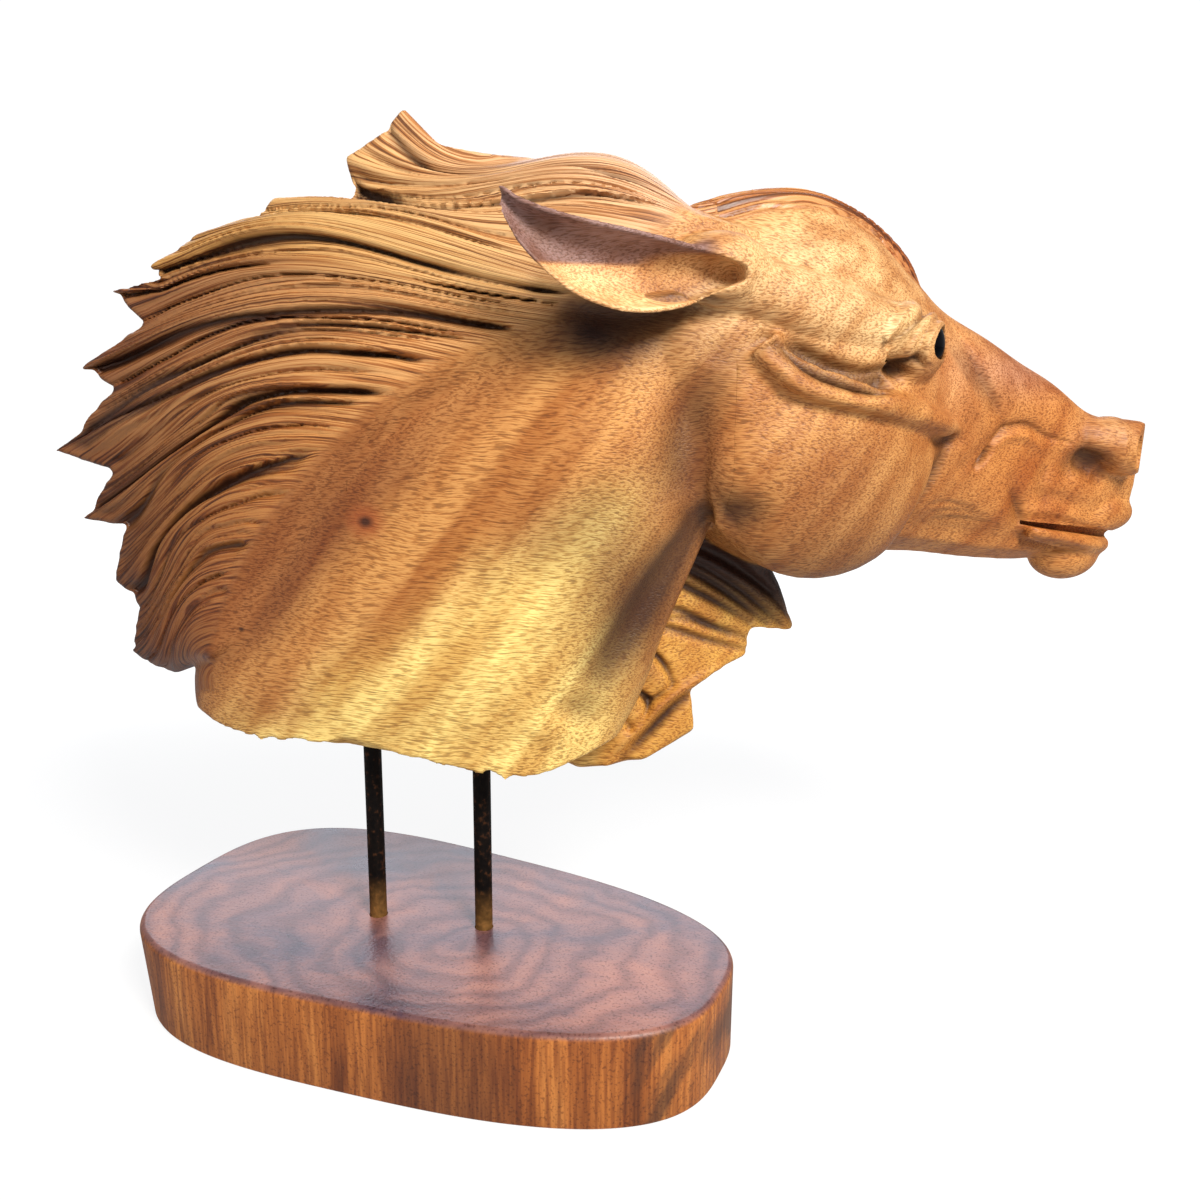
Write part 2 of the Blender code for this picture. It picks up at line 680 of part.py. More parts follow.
def make_head(material):
    points, normals, faces = fused_blank(WORKING_GRAIN)
    head = add_object("horse_head", turned(carved(points, normals)), faces, material)
    head.data.shade_smooth()
    thin = head.modifiers.new("fewer faces", "DECIMATE")
    thin.ratio = min(1.0, HEAD_TRIANGLES / (2 * len(faces)))
    return head


def build():
    clear_scene()
    wood = finish("carved suar wood", (0.42, 0.20, 0.07), 0.45)
    slab = finish("oiled plinth wood", (0.20, 0.08, 0.04), 0.40)
    iron = finish("rusty iron", (0.04, 0.02, 0.015), 0.6, 0.7)
    bead = finish("black bead", (0.005, 0.005, 0.006), 0.1)
    plinth = make_plinth(slab)
    head = make_head(wood)
    for name, x in (("rear", ROD_MIDDLE_X - ROD_SPACING / 2), ("front", ROD_MIDDLE_X + ROD_SPACING / 2)):
        make_rod("rod_" + name, x, iron)
        bore = rod_bore("bore_" + name, x)
        cut(plinth, bore)
        cut(head, bore)
    for name, side in (("left", 1), ("right", -1)):
        make_eye("eye_" + name, side, bead)
        cut(head, eye_socket("socket_" + name, side))
        cut(head, nostril_hole("nostril_" + name, side))
        cut(head, mouth_slit("mouth_" + name, side))


build()
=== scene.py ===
import json
import math
import bmesh
import bpy
import numpy as np
from mathutils import Matrix, Vector

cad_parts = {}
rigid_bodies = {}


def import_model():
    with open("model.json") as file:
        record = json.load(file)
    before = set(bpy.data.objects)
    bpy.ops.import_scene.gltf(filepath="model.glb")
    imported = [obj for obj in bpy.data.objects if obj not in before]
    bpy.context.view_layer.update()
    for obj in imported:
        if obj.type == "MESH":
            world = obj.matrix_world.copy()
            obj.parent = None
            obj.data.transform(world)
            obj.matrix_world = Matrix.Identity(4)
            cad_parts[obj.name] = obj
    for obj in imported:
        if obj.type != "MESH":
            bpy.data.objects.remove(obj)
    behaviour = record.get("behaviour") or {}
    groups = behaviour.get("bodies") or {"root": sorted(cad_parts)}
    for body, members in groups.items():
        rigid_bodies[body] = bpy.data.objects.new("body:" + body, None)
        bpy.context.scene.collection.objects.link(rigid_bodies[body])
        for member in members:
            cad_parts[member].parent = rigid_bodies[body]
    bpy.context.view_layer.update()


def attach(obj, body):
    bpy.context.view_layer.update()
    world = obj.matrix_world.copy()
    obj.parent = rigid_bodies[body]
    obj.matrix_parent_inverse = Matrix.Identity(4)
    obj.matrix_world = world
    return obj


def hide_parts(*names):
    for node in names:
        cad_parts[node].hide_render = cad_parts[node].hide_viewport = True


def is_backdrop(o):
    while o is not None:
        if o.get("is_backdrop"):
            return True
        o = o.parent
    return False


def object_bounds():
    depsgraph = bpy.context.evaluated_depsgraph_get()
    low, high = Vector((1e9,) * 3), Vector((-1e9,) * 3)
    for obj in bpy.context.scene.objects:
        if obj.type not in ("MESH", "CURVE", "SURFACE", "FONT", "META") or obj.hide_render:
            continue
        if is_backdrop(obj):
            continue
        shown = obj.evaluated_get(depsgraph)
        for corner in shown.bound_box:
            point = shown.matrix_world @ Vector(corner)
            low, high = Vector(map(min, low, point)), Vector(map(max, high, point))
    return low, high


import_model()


# Plinth
# An egg-shaped slab sawn across a trunk of suar wood, so the growth rings lie on its top and the
# fibres stand upright in its side. Its upper edge is rounded by hand, and it is sanded and oiled.
PLINTH_LENGTH = 0.280
PLINTH_WIDTH = 0.152
PLINTH_THICKNESS = 0.0415
PLINTH_SQUARENESS = 2.9
PLINTH_EGG = -0.16
PLINTH_TURN = math.radians(-10.3)
PLINTH_REAR_UNDERCUT = 0.0075
TOP_EDGE_RADIUS = 0.0032
BOTTOM_EDGE_RADIUS = 0.0012
ROD_DIAMETER = 0.008
ROD_PLACES = (-0.028, 0.024)
ROD_DEPTH_IN_PLINTH = 0.025
FIT_CLEARANCE = 0.0003
PITH = (0.056, 0.018)
WAVE_PERIOD = 0.314
RING_SPACING = 0.017
FIBRE_WIDTH = 0.0016
PORE_SIZE = 0.0011
STREAK_SLANT = math.radians(-62)
STREAK_SIZE = (0.060, 0.060, 0.012)
STREAK_TONE = "#33201A"
PATCH_PLACE = (0.034, -0.070, 0.018)
PATCH_SIZE = (0.034, 0.05, 0.05)
PATCH_TONE = "#452418"


def linear(colour):
    """Linear red, green and blue of an sRGB hex colour."""
    shares = [int(colour[i : i + 2], 16) / 255 for i in (1, 3, 5)]
    return [c / 12.92 if c <= 0.04045 else ((c + 0.055) / 1.055) ** 2.4 for c in shares]


def add_node(tree, kind, inputs=None, stops=None, **settings):
    """A node with its settings, its inputs as values or links, and the stops of a colour ramp."""
    made = tree.nodes.new(kind)
    for name, value in settings.items():
        setattr(made, name, value)
    for key, value in (inputs or {}).items():
        if isinstance(value, bpy.types.NodeSocket):
            tree.links.new(value, made.inputs[key])
        else:
            made.inputs[key].default_value = value
    for i, (place, colour) in enumerate(stops or ()):
        stop = made.color_ramp.elements[i] if i < 2 else made.color_ramp.elements.new(place)
        stop.position = place
        stop.color = (*linear(colour), 1.0)
    return made


def new_material(name):
    """An empty material with its surface shader."""
    material = bpy.data.materials.new(name)
    material.use_nodes = True
    tree = material.node_tree
    return material, tree, tree.nodes["Principled BSDF"]


def deselect_all():
    for piece in bpy.data.objects:
        piece.select_set(False)


def finish_piece(piece, name, material, node):
    """Names a piece, gives it its material, and lets it stand for a node of the frame."""
    piece.name = name
    piece.data.name = name
    piece.data.materials.clear()
    piece.data.materials.append(material)
    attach(piece, "root")
    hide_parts(node)


def apply_modifier(piece, kind, **settings):
    bpy.context.view_layer.objects.active = piece
    added = piece.modifiers.new(kind.lower(), kind)
    for name, value in settings.items():
        setattr(added, name, value)
    bpy.ops.object.modifier_apply(modifier=added.name)


def bore_cutter(x, bottom, top):
    """A round cutter for the hole of one rod."""
    deselect_all()
    bpy.ops.mesh.primitive_cylinder_add(
        vertices=48,
        radius=ROD_DIAMETER / 2 + FIT_CLEARANCE,
        depth=top - bottom,
        location=(x, 0, (top + bottom) / 2),
    )
    return bpy.context.active_object


def egg_outline(point):
    """Moves a point of a unit disc to the plinth's egg-shaped outline."""
    turn = math.atan2(point.y, point.x)
    along = math.copysign(abs(math.cos(turn)) ** (2 / PLINTH_SQUARENESS), math.cos(turn))
    across = math.copysign(abs(math.sin(turn)) ** (2 / PLINTH_SQUARENESS), math.sin(turn))
    return PLINTH_LENGTH / 2 * along, PLINTH_WIDTH / 2 * across * (1 + PLINTH_EGG * along)


deselect_all()
bpy.ops.mesh.primitive_cylinder_add(
    vertices=256, radius=1.0, depth=PLINTH_THICKNESS, location=(0, 0, PLINTH_THICKNESS / 2)
)
plinth = bpy.context.active_object
bpy.ops.object.transform_apply(location=True)
for point in plinth.data.vertices:
    point.co.x, point.co.y = egg_outline(point.co)
for height, radius, segments in ((PLINTH_THICKNESS, TOP_EDGE_RADIUS, 6), (0.0, BOTTOM_EDGE_RADIUS, 2)):
    bpy.ops.object.mode_set(mode="EDIT")
    bpy.ops.mesh.select_mode(type="EDGE")
    bpy.ops.mesh.select_all(action="DESELECT")
    bpy.ops.object.mode_set(mode="OBJECT")
    for edge in plinth.data.edges:
        edge.select = all(abs(plinth.data.vertices[i].co.z - height) < 1e-5 for i in edge.vertices)
    bpy.ops.object.mode_set(mode="EDIT")
    bpy.ops.mesh.bevel(offset=radius, segments=segments, affect="EDGES")
    bpy.ops.object.mode_set(mode="OBJECT")
for point in plinth.data.vertices:
    under = (1 - point.co.z / PLINTH_THICKNESS) * PLINTH_REAR_UNDERCUT
    point.co.x += under * min(max(-point.co.x / (PLINTH_LENGTH / 2), 0.0), 1.0) ** 2
plinth.data.transform(Matrix.Rotation(PLINTH_TURN, 4, "Z"))
for x in ROD_PLACES:
    bore = bore_cutter(x, PLINTH_THICKNESS - ROD_DEPTH_IN_PLINTH - FIT_CLEARANCE, 2 * PLINTH_THICKNESS)
    apply_modifier(plinth, "BOOLEAN", operation="DIFFERENCE", solver="EXACT", object=bore)
    bpy.data.objects.remove(bore, do_unlink=True)
deselect_all()
plinth.select_set(True)
bpy.context.view_layer.objects.active = plinth
bpy.ops.object.shade_smooth_by_angle(angle=math.radians(32))

# Oiled suar, cut across the grain: purple-brown heartwood with dark growth rings on top, and
# orange-brown upright fibres with darker stripes round the side, under a soft sheen of oil.
# The wave pattern repeats every WAVE_PERIOD at scale one. The pores are drawn coarser than real
# ones, which would be too fine to show.
slab_wood, tree, surface = new_material("oiled suar slab")
place = add_node(tree, "ShaderNodeTexCoord").outputs["Object"]
split = add_node(tree, "ShaderNodeSeparateXYZ", {0: place})
face_normal = add_node(tree, "ShaderNodeNewGeometry").outputs["Normal"]
facing = add_node(tree, "ShaderNodeSeparateXYZ", {0: face_normal})
on_top = add_node(
    tree, "ShaderNodeMapRange", {0: facing.outputs[2], 1: 0.25, 2: 0.95}, interpolation_type="SMOOTHSTEP"
)
flat_place = add_node(
    tree, "ShaderNodeMapping", {0: place, 1: (-PITH[0], -PITH[1], 0), 3: (1, 1.35, 0.18)}
)
wander = add_node(
    tree, "ShaderNodeTexNoise", {"Vector": flat_place.outputs[0], "Scale": 14.0, "Detail": 3.0}
)
bent = add_node(
    tree,
    "ShaderNodeVectorMath",
    {0: wander.outputs["Color"], 1: (0.075, 0.075, 0.0), 2: flat_place.outputs[0]},
    operation="MULTIPLY_ADD",
)
rings = add_node(
    tree,
    "ShaderNodeTexWave",
    {
        "Vector": bent.outputs[0],
        "Scale": WAVE_PERIOD / RING_SPACING,
        "Distortion": 1.2,
        "Detail": 3.0,
        "Detail Scale": 2.0,
    },
    wave_type="RINGS",
    rings_direction="Z",
)
ring_tone = add_node(
    tree,
    "ShaderNodeValToRGB",
    {0: rings.outputs["Fac"]},
    stops=((0.0, "#6C5559"), (1.0, "#856A6B"), (0.30, "#785E62"), (0.6, "#806567")),
)
cloud = add_node(
    tree,
    "ShaderNodeTexNoise",
    {"Vector": bent.outputs[0], "Scale": 17.0, "Detail": 5.0, "Roughness": 0.62},
)
cloud_tone = add_node(
    tree, "ShaderNodeValToRGB", {0: cloud.outputs["Fac"]}, stops=((0.34, "#6A6076"), (0.68, "#F0CCAC"))
)
top_tone = add_node(
    tree,
    "ShaderNodeMix",
    {0: 0.9, 6: ring_tone.outputs[0], 7: cloud_tone.outputs[0]},
    data_type="RGBA",
    blend_type="OVERLAY",
)
upright = add_node(tree, "ShaderNodeMapping", {0: place, 3: (1.0, 1.0, 0.05)})
stripes = add_node(
    tree,
    "ShaderNodeTexNoise",
    {"Vector": upright.outputs[0], "Scale": 42.0, "Detail": 5.0, "Roughness": 0.62},
)
stripe_tone = add_node(
    tree,
    "ShaderNodeValToRGB",
    {0: stripes.outputs["Fac"]},
    stops=((0.30, "#60300F"), (0.74, "#D8944C"), (0.42, "#96521E"), (0.54, "#BA7030")),
)
fibres = add_node(
    tree,
    "ShaderNodeTexNoise",
    {"Vector": upright.outputs[0], "Scale": 1 / FIBRE_WIDTH, "Detail": 2.0},
)
fibre_tone = add_node(
    tree, "ShaderNodeValToRGB", {0: fibres.outputs["Fac"]}, stops=((0.35, "#A98F80"), (0.62, "#FFFFFF"))
)
side_tone = add_node(
    tree,
    "ShaderNodeMix",
    {0: 0.8, 6: stripe_tone.outputs[0], 7: fibre_tone.outputs[0]},
    data_type="RGBA",
    blend_type="MULTIPLY",
)
slanted = add_node(
    tree,
    "ShaderNodeMapping",
    {0: place, 2: (0, STREAK_SLANT, 0), 3: STREAK_SIZE},
    vector_type="TEXTURE",
)
streaks = add_node(
    tree, "ShaderNodeTexNoise", {"Vector": slanted.outputs[0], "Scale": 1.0, "Detail": 4.0}
)
at_front_end = add_node(tree, "ShaderNodeMapRange", {0: split.outputs[0], 1: 0.085, 2: 0.118})
streak_dark = add_node(
    tree, "ShaderNodeMapRange", {0: streaks.outputs["Fac"], 1: 0.48, 2: 0.62, 3: 0.0, 4: 0.7}
)
streak_share = add_node(
    tree, "ShaderNodeMath", {0: streak_dark.outputs[0], 1: at_front_end.outputs[0]}, operation="MULTIPLY"
)
streaked = add_node(
    tree,
    "ShaderNodeMix",
    {0: streak_share.outputs[0], 6: side_tone.outputs[2], 7: (*linear(STREAK_TONE), 1)},
    data_type="RGBA",
)
patch_place = add_node(
    tree, "ShaderNodeMapping", {0: place, 1: PATCH_PLACE, 3: PATCH_SIZE}, vector_type="TEXTURE"
)
patch_far = add_node(tree, "ShaderNodeVectorMath", {0: patch_place.outputs[0]}, operation="LENGTH")
patch_share = add_node(
    tree, "ShaderNodeMapRange", {0: patch_far.outputs["Value"], 1: 1.0, 2: 0.5, 3: 0.0, 4: 0.45}
)
patched = add_node(
    tree,
    "ShaderNodeMix",
    {0: patch_share.outputs[0], 6: streaked.outputs[2], 7: (*linear(PATCH_TONE), 1)},
    data_type="RGBA",
)
whole = add_node(
    tree,
    "ShaderNodeMix",
    {0: on_top.outputs[0], 6: patched.outputs[2], 7: top_tone.outputs[2]},
    data_type="RGBA",
)
pores = add_node(tree, "ShaderNodeTexNoise", {"Vector": place, "Scale": 1 / PORE_SIZE, "Detail": 1.0})
pore_tone = add_node(
    tree, "ShaderNodeValToRGB", {0: pores.outputs["Fac"]}, stops=((0.30, "#8E7468"), (0.46, "#FFFFFF"))
)
slab_colour = add_node(
    tree,
    "ShaderNodeMix",
    {0: 0.6, 6: whole.outputs[2], 7: pore_tone.outputs[0]},
    data_type="RGBA",
    blend_type="MULTIPLY",
)
tree.links.new(slab_colour.outputs[2], surface.inputs["Base Color"])
worn = add_node(tree, "ShaderNodeMapRange", {0: cloud.outputs["Fac"], 1: 0.3, 2: 0.7, 3: 0.24, 4: 0.40})
dull_side = add_node(tree, "ShaderNodeMapRange", {0: on_top.outputs[0], 3: 0.30, 4: 0.0})
sheen = add_node(tree, "ShaderNodeMath", {0: worn.outputs[0], 1: dull_side.outputs[0]}, operation="ADD")
tree.links.new(sheen.outputs[0], surface.inputs["Roughness"])
relief = add_node(
    tree, "ShaderNodeBump", {"Strength": 0.35, "Distance": 0.0004, "Height": fibres.outputs["Fac"]}
)
tree.links.new(relief.outputs[0], surface.inputs["Normal"])
surface.inputs["IOR"].default_value = 1.47
finish_piece(plinth, "plinth_slab", slab_wood, "plinth")


# Rods
# Two lengths of plain round iron bar, driven into blind holes in the plinth and in the neck.
# They were never painted, so they have gone dark brown, with ochre rust where they leave the wood.
HEAD_HEIGHT = 0.275
HEAD_OVER_PLINTH = 0.082
ROD_DEPTH_IN_HEAD = 0.045
RUST_GRAIN = 0.0025
RUST_TONE = "#C08A4A"

rod_bottom = PLINTH_THICKNESS - ROD_DEPTH_IN_PLINTH
rod_top = PLINTH_THICKNESS + HEAD_OVER_PLINTH + ROD_DEPTH_IN_HEAD

# Rusty mild steel: dark brown mill scale with orange-ochre bloom near the plinth, hardly metallic.
rusty_iron, tree, surface = new_material("rusty iron bar")
place = add_node(tree, "ShaderNodeTexCoord").outputs["Object"]
height = add_node(tree, "ShaderNodeSeparateXYZ", {0: place}).outputs[2]
grains = add_node(tree, "ShaderNodeTexNoise", {"Vector": place, "Scale": 1 / RUST_GRAIN, "Detail": 5.0})
scale_tone = add_node(
    tree,
    "ShaderNodeValToRGB",
    {0: grains.outputs["Fac"]},
    stops=((0.38, "#040202"), (0.72, "#4A2C18"), (0.56, "#0F0805")),
)
low_down = add_node(tree, "ShaderNodeMapRange", {0: height, 1: 0.062, 2: 0.040, 3: 0.0, 4: 0.75})
patchy = add_node(
    tree, "ShaderNodeMath", {0: low_down.outputs[0], 1: grains.outputs["Fac"]}, operation="MULTIPLY"
)
bloom = add_node(
    tree,
    "ShaderNodeMix",
    {0: patchy.outputs[0], 6: scale_tone.outputs[0], 7: (*linear(RUST_TONE), 1)},
    data_type="RGBA",
)
tree.links.new(bloom.outputs[2], surface.inputs["Base Color"])
surface.inputs["Metallic"].default_value = 0.15
surface.inputs["Roughness"].default_value = 0.65
surface.inputs["Specular IOR Level"].default_value = 0.15
relief = add_node(
    tree, "ShaderNodeBump", {"Strength": 0.6, "Distance": 0.0004, "Height": grains.outputs["Fac"]}
)
tree.links.new(relief.outputs[0], surface.inputs["Normal"])

for name, x in zip(("rear", "front"), ROD_PLACES):
    deselect_all()
    bpy.ops.mesh.primitive_cylinder_add(
        vertices=40,
        radius=ROD_DIAMETER / 2,
        depth=rod_top - rod_bottom,
        location=(x, 0, (rod_top + rod_bottom) / 2),
    )
    rod = bpy.context.active_object
    bpy.ops.object.transform_apply(location=True)
    bpy.ops.object.shade_smooth_by_angle(angle=math.radians(40))
    finish_piece(rod, "iron_rod_" + name, rusty_iron, "rod_" + name)


# Horse head
# One block of suar wood, carved with gouges into a neck, a face and a mane blown back in pointed
# locks. The skin is sanded and oiled, and the hair is left as the gouge cut it. All its tables are
# in the carver's grid: s forwards, y sideways, z up from the neck's underside, one step a millimetre.
STEP = HEAD_HEIGHT / 275.0
FACE_TURN = math.radians(30.0)
TURN_STARTS = 60.0
TURN_ENDS = 130.0
ROUGHING_GRAIN = 1.1
CARVING_GRAIN = 0.85
EASING_PASSES = 9
HEAD_TRIANGLES = 555000
HEAD_PIECES = ("rear", "middle", "front")

# Neck, from its underside up: height, rear end, front end, half thickness
NECK_SECTIONS = (
    (12, -110, 84, 29),
    (40, -107, 96, 33),
    (65, -86, 104, 34),
    (90, -70, 114, 34),
    (115, -52, 124, 34),
    (140, -26, 132, 34),
    (165, 8, 134, 32),
    (190, 50, 130, 30),
    (210, 76, 122, 24),
    (222, 90, 114, 14),
)
NECK_END_POWER = 0.85
NECK_SIDE_POWER = 0.55
# Chipped underside of the neck: distance along, height
UNDERSIDE = (
    (-110, 20), (-87, 12), (-62, 8), (-45, 10), (-22, 16),
    (-4, 14), (10, 6), (30, 2), (48, 1), (62, 6), (84, 19),
)
# Head from behind the poll to the muzzle: distance along, top, bottom, then half widths going up
HEAD_SECTIONS = (
    (92, 226, 150, 16, 26, 28, 22, 10),
    (108, 230, 120, 18, 30, 34, 27, 12),
    (124, 234, 101, 20, 36, 38, 31, 14),
    (142, 238, 91, 22, 40, 40, 32, 16),
    (160, 239, 88, 22, 41, 41, 32, 16),
    (176, 234, 89, 20, 38, 42, 31, 16),
    (190, 225, 92, 17, 33, 41, 30, 16),
    (201, 215, 93, 14, 29, 38, 29, 16),
    (211, 206, 92, 12, 25, 32, 28, 16),
    (224, 196, 91, 11, 21, 26, 26, 16),
    (244, 186, 88, 10, 19, 22, 24, 16),
    (262, 176, 86, 10, 18, 19, 21, 15),
    (280, 167, 85, 10, 17, 18, 20, 14),
    (298, 155, 88, 9, 16, 18, 19, 13),
    (312, 150, 95, 8, 14, 16, 17, 12),
    (328, 148, 99, 6, 11, 13, 14, 10),
)
SECTION_HEIGHTS = (0.07, 0.30, 0.55, 0.80, 0.95)
# Swellings on both sides: centre along, sideways and up, then the three radii
SWELLINGS = (
    ("jowl", 161, 24, 138, 51, 22, 51),
    ("eye rim", 196, 31, 181, 13, 12, 11),
    ("ear root", 115, 32, 208, 17, 14, 15),
    ("upper lip", 314, 7, 106.5, 17, 10, 9.5),
)
MIDDLE_SWELLINGS = (
    ("chin", 302, 0, 87.5, 18, 12, 13),
    ("nose tip", 320, 0, 140, 13, 14, 10),
)
# Bars laid along both sides: points along, sideways and up, each with its radius
BROW = ((124, 30, 203, 12), (148, 31, 196, 13), (172, 32, 190, 12), (192, 33, 185, 10), (203, 30, 181, 7))
CHEEK_BONE = ((128, 37, 182, 7), (142, 42, 170, 7), (176, 44, 160, 6), (204, 35, 152, 6), (222, 26, 146, 3))
NOSTRIL = ((284, 11, 141, 9), (302, 14, 139, 12), (322, 18, 136.5, 12.5))
LOWER_LIP = ((268, 18, 101, 3), (286, 15, 97, 4), (306, 11, 93, 4.5), (320, 4, 91, 4))
FORELOCK = (
    (112, 0, 226, 8), (134, 0, 229, 11), (158, 0, 230, 12),
    (180, 0, 223, 12), (198, 0, 211, 11), (212, 0, 199, 7),
)
# Ear, a leaf-shaped cup: along, distance out of its rim, height, half height, depth of the cup
EAR_SECTIONS = (
    (120, 36, 207, 1.5, 2),
    (112, 41, 207, 5, 6),
    (101, 48, 206, 9, 11),
    (88, 55, 207, 11.5, 13),
    (75, 60, 211.5, 10.5, 11),
    (64, 62, 220, 6.5, 7),
    (54, 62, 232, 1.2, 2),
)
EAR_ROUGH_WALL = 3.2
EAR_WALL = 2.0
# Mane locks from the poll down: root, tip, the arch and wave of its line, and the notch after its tip
LOCKS = (
    (110, 232, -4, 273, -1.0, 10.5, -15, 262),
    (106, 228, -29, 254, 2.2, 4.5, -27, 238),
    (78, 203, -62, 239, 8.8, -2.5, -67, 233),
    (77, 201, -98, 225, 11.0, -5.0, -107, 219),
    (75, 198, -122, 212, 15.3, -7.4, -115, 204),
    (68, 190, -142, 202, 13.0, -3.4, -126, 188),
    (30, 176, -161, 168, 20.3, -0.5, -143, 160),
    (-3, 157, -178, 131, 17.5, 0.5, -147, 123),
    (-27, 138, -167, 100, 14.4, 2.0, -144, 98),
    (-58, 106, -152, 73, 11.1, 1.3, -140, 61),
    (-78, 74, -146, 39, 7.7, 2.8, -138, 34),
    (-93, 40, -124, 29, 1.0, 0.0, -113, 34),
)
MANE_ROOT_HALF = 30.0
MANE_TIP_HALF = 3.6
MANE_TAPER_POWER = 0.85
MANE_EDGE_SHARE = 0.15
MANE_TOP_ROUNDING = 1.6
MANE_END_ROUNDING = 0.3
MANE_SET_IN = 25.0
MANE_SET_IN_SHARE = 0.85
# Tuft below the jaw: its outline, and the two sides of the slab that it is cut from
TUFT = (
    (60, 88), (90, 110), (128, 112), (150, 98), (161, 78), (169, 58), (147, 61), (146, 48), (129, 41),
    (119, 33), (121, 14), (97, 1), (66, -4), (50, 2), (40, 20),
)
TUFT_NEAR_SIDE = 3.0
TUFT_FAR_SIDE = 26.0
TUFT_EASED_SHARE = 0.94
TUFT_EASED_DEPTH = 5.0


def smooth_rows(rows, parts):
    """A Catmull-Rom curve through rows of numbers, with each span cut into equal parts."""
    rows = np.asarray(rows, float)
    padded = np.vstack([2 * rows[0] - rows[1], rows, 2 * rows[-1] - rows[-2]])
    found = []
    for before, start, end, after in zip(padded, padded[1:], padded[2:], padded[3:]):
        for u in np.arange(parts) / parts:
            bend = 2 * before - 5 * start + 4 * end - after
            rest = 3 * (start - end) + after - before
            found.append(0.5 * (2 * start + (end - before) * u + bend * u**2 + rest * u**3))
    found.append(rows[-1])
    return np.array(found)


def loft(rings):
    """Points and faces of a closed body through rings of equally many points."""
    count = len(rings[0])
    faces = []
    for low in range(0, (len(rings) - 1) * count, count):
        for i in range(count):
            j = (i + 1) % count
            faces.append((low + i, low + j, low + count + j, low + count + i))
    faces.append(tuple(range(count - 1, -1, -1)))
    faces.append(tuple(range((len(rings) - 1) * count, len(rings) * count)))
    return np.concatenate(rings), faces


def ellipsoid(centre, radii, around=28, along=18):
    rings = []
    turn = 2 * math.pi * np.arange(around) / around
    for i in range(1, along):
        tilt = math.pi * i / along
        rim = math.sin(tilt)
        ring = np.stack([np.full(around, -math.cos(tilt)), rim * np.cos(turn), rim * np.sin(turn)], 1)
        rings.append(np.asarray(centre) + ring * np.asarray(radii))
    return loft(rings)


def bar(points, parts=4, around=16):
    """A round bar through points that each carry a radius."""
    rows = smooth_rows(points, parts)
    along = np.gradient(rows[:, :3], axis=0)
    along /= np.linalg.norm(along, axis=1)[:, None]
    turn = 2 * math.pi * np.arange(around) / around
    rings = []
    for row, ahead in zip(rows, along):
        side = np.cross(ahead, (0, 0, 1))
        side /= np.linalg.norm(side)
        up = np.cross(side, ahead)
        rings.append(row[:3] + row[3] * (np.cos(turn)[:, None] * side + np.sin(turn)[:, None] * up))
    return loft(rings)


def other_side(points, faces):
    return np.asarray(points) * (1, -1, 1), [tuple(reversed(face)) for face in faces]


def neck_body(around=60):
    """Upright sections, blunt in front and drawn out to the rear, on the chipped underside."""
    under = np.array(UNDERSIDE, float)
    turn = 2 * math.pi * np.arange(around) / around
    forwards = np.sign(np.cos(turn)) * abs(np.cos(turn)) ** NECK_END_POWER
    outwards = np.sign(np.sin(turn)) * abs(np.sin(turn)) ** NECK_SIDE_POWER
    rings = []
    for i, (height, rear, front, half) in enumerate(smooth_rows(NECK_SECTIONS, 4)):
        along = (front + rear) / 2 + (front - rear) / 2 * forwards
        up = np.interp(along, under[:, 0], under[:, 1]) if i == 0 else np.full(around, height)
        rings.append(np.stack([along, half * outwards, up], 1))
    return loft(rings)


def head_body():
    """Sections across the face, each a closed curve through five widths on either side."""
    rings = []
    for row in smooth_rows(HEAD_SECTIONS, 4):
        along, top, bottom = row[:3]
        levels = bottom + (top - bottom) * np.array(SECTION_HEIGHTS)
        right = list(zip(row[3:], levels))
        left = [(-width, level) for width, level in reversed(right)]
        knots = np.array([(0.0, bottom), *right, (0.0, top), *left])
        knots = np.vstack([knots[-1], knots, knots[0], knots[1]])
        curve = smooth_rows(knots, 5)[5:-10]
        rings.append(np.stack([np.full(len(curve), along), curve[:, 0], curve[:, 1]], 1))
    return loft(rings)


def ear_body(inner, outer, mouth=0.0, around=25):
    """An ear between two leaves that lie so far outside its cup, or from one leaf out past the mouth."""
    rings = []
    sweep = np.radians(np.linspace(-82, 82, around))
    for along, out, height, half, depth in smooth_rows(EAR_SECTIONS, 8):
        leaves = []
        for extra in (min(inner, half + 0.8), min(outer, half + 0.8)):
            aside = out - (depth + extra) * np.cos(sweep)
            up = height + (half + extra) * np.sin(sweep)
            leaves.append(np.stack([np.full(around, along), aside, up], 1))
        if mouth:
            leaves[0] = leaves[1] * (1, 0, 1) + (0, out + mouth, 0)
        rings.append(np.concatenate([leaves[0], leaves[1][::-1]]))
    return loft(rings)


def mane_points(place, share):
    """Where a hair is in side view: place counts the locks, share runs from root to tip."""
    rows = np.array(LOCKS, float)
    places = np.arange(len(rows), dtype=float)
    ends = [rows[0, 2:4]]
    end_places = [0.0]
    for i in range(len(rows) - 1):
        ends += [rows[i, 6:8], rows[i + 1, 2:4]]
        end_places += [i + 0.5, i + 1.0]
    ends = np.array(ends)
    root = np.stack([np.interp(place, places, rows[:, k]) for k in (0, 1)], -1)
    tip = np.stack([np.interp(place, end_places, ends[:, k]) for k in (0, 1)], -1)
    run = tip - root
    normal = np.stack([run[..., 1], -run[..., 0]], -1)
    normal /= np.linalg.norm(normal, axis=-1, keepdims=True)
    arch = np.interp(place, places, rows[:, 4]) * np.sin(np.pi * share)
    wave = np.interp(place, places, rows[:, 5]) * np.sin(2 * np.pi * share)
    return root + run * share[..., None] + normal * (arch + wave)[..., None]


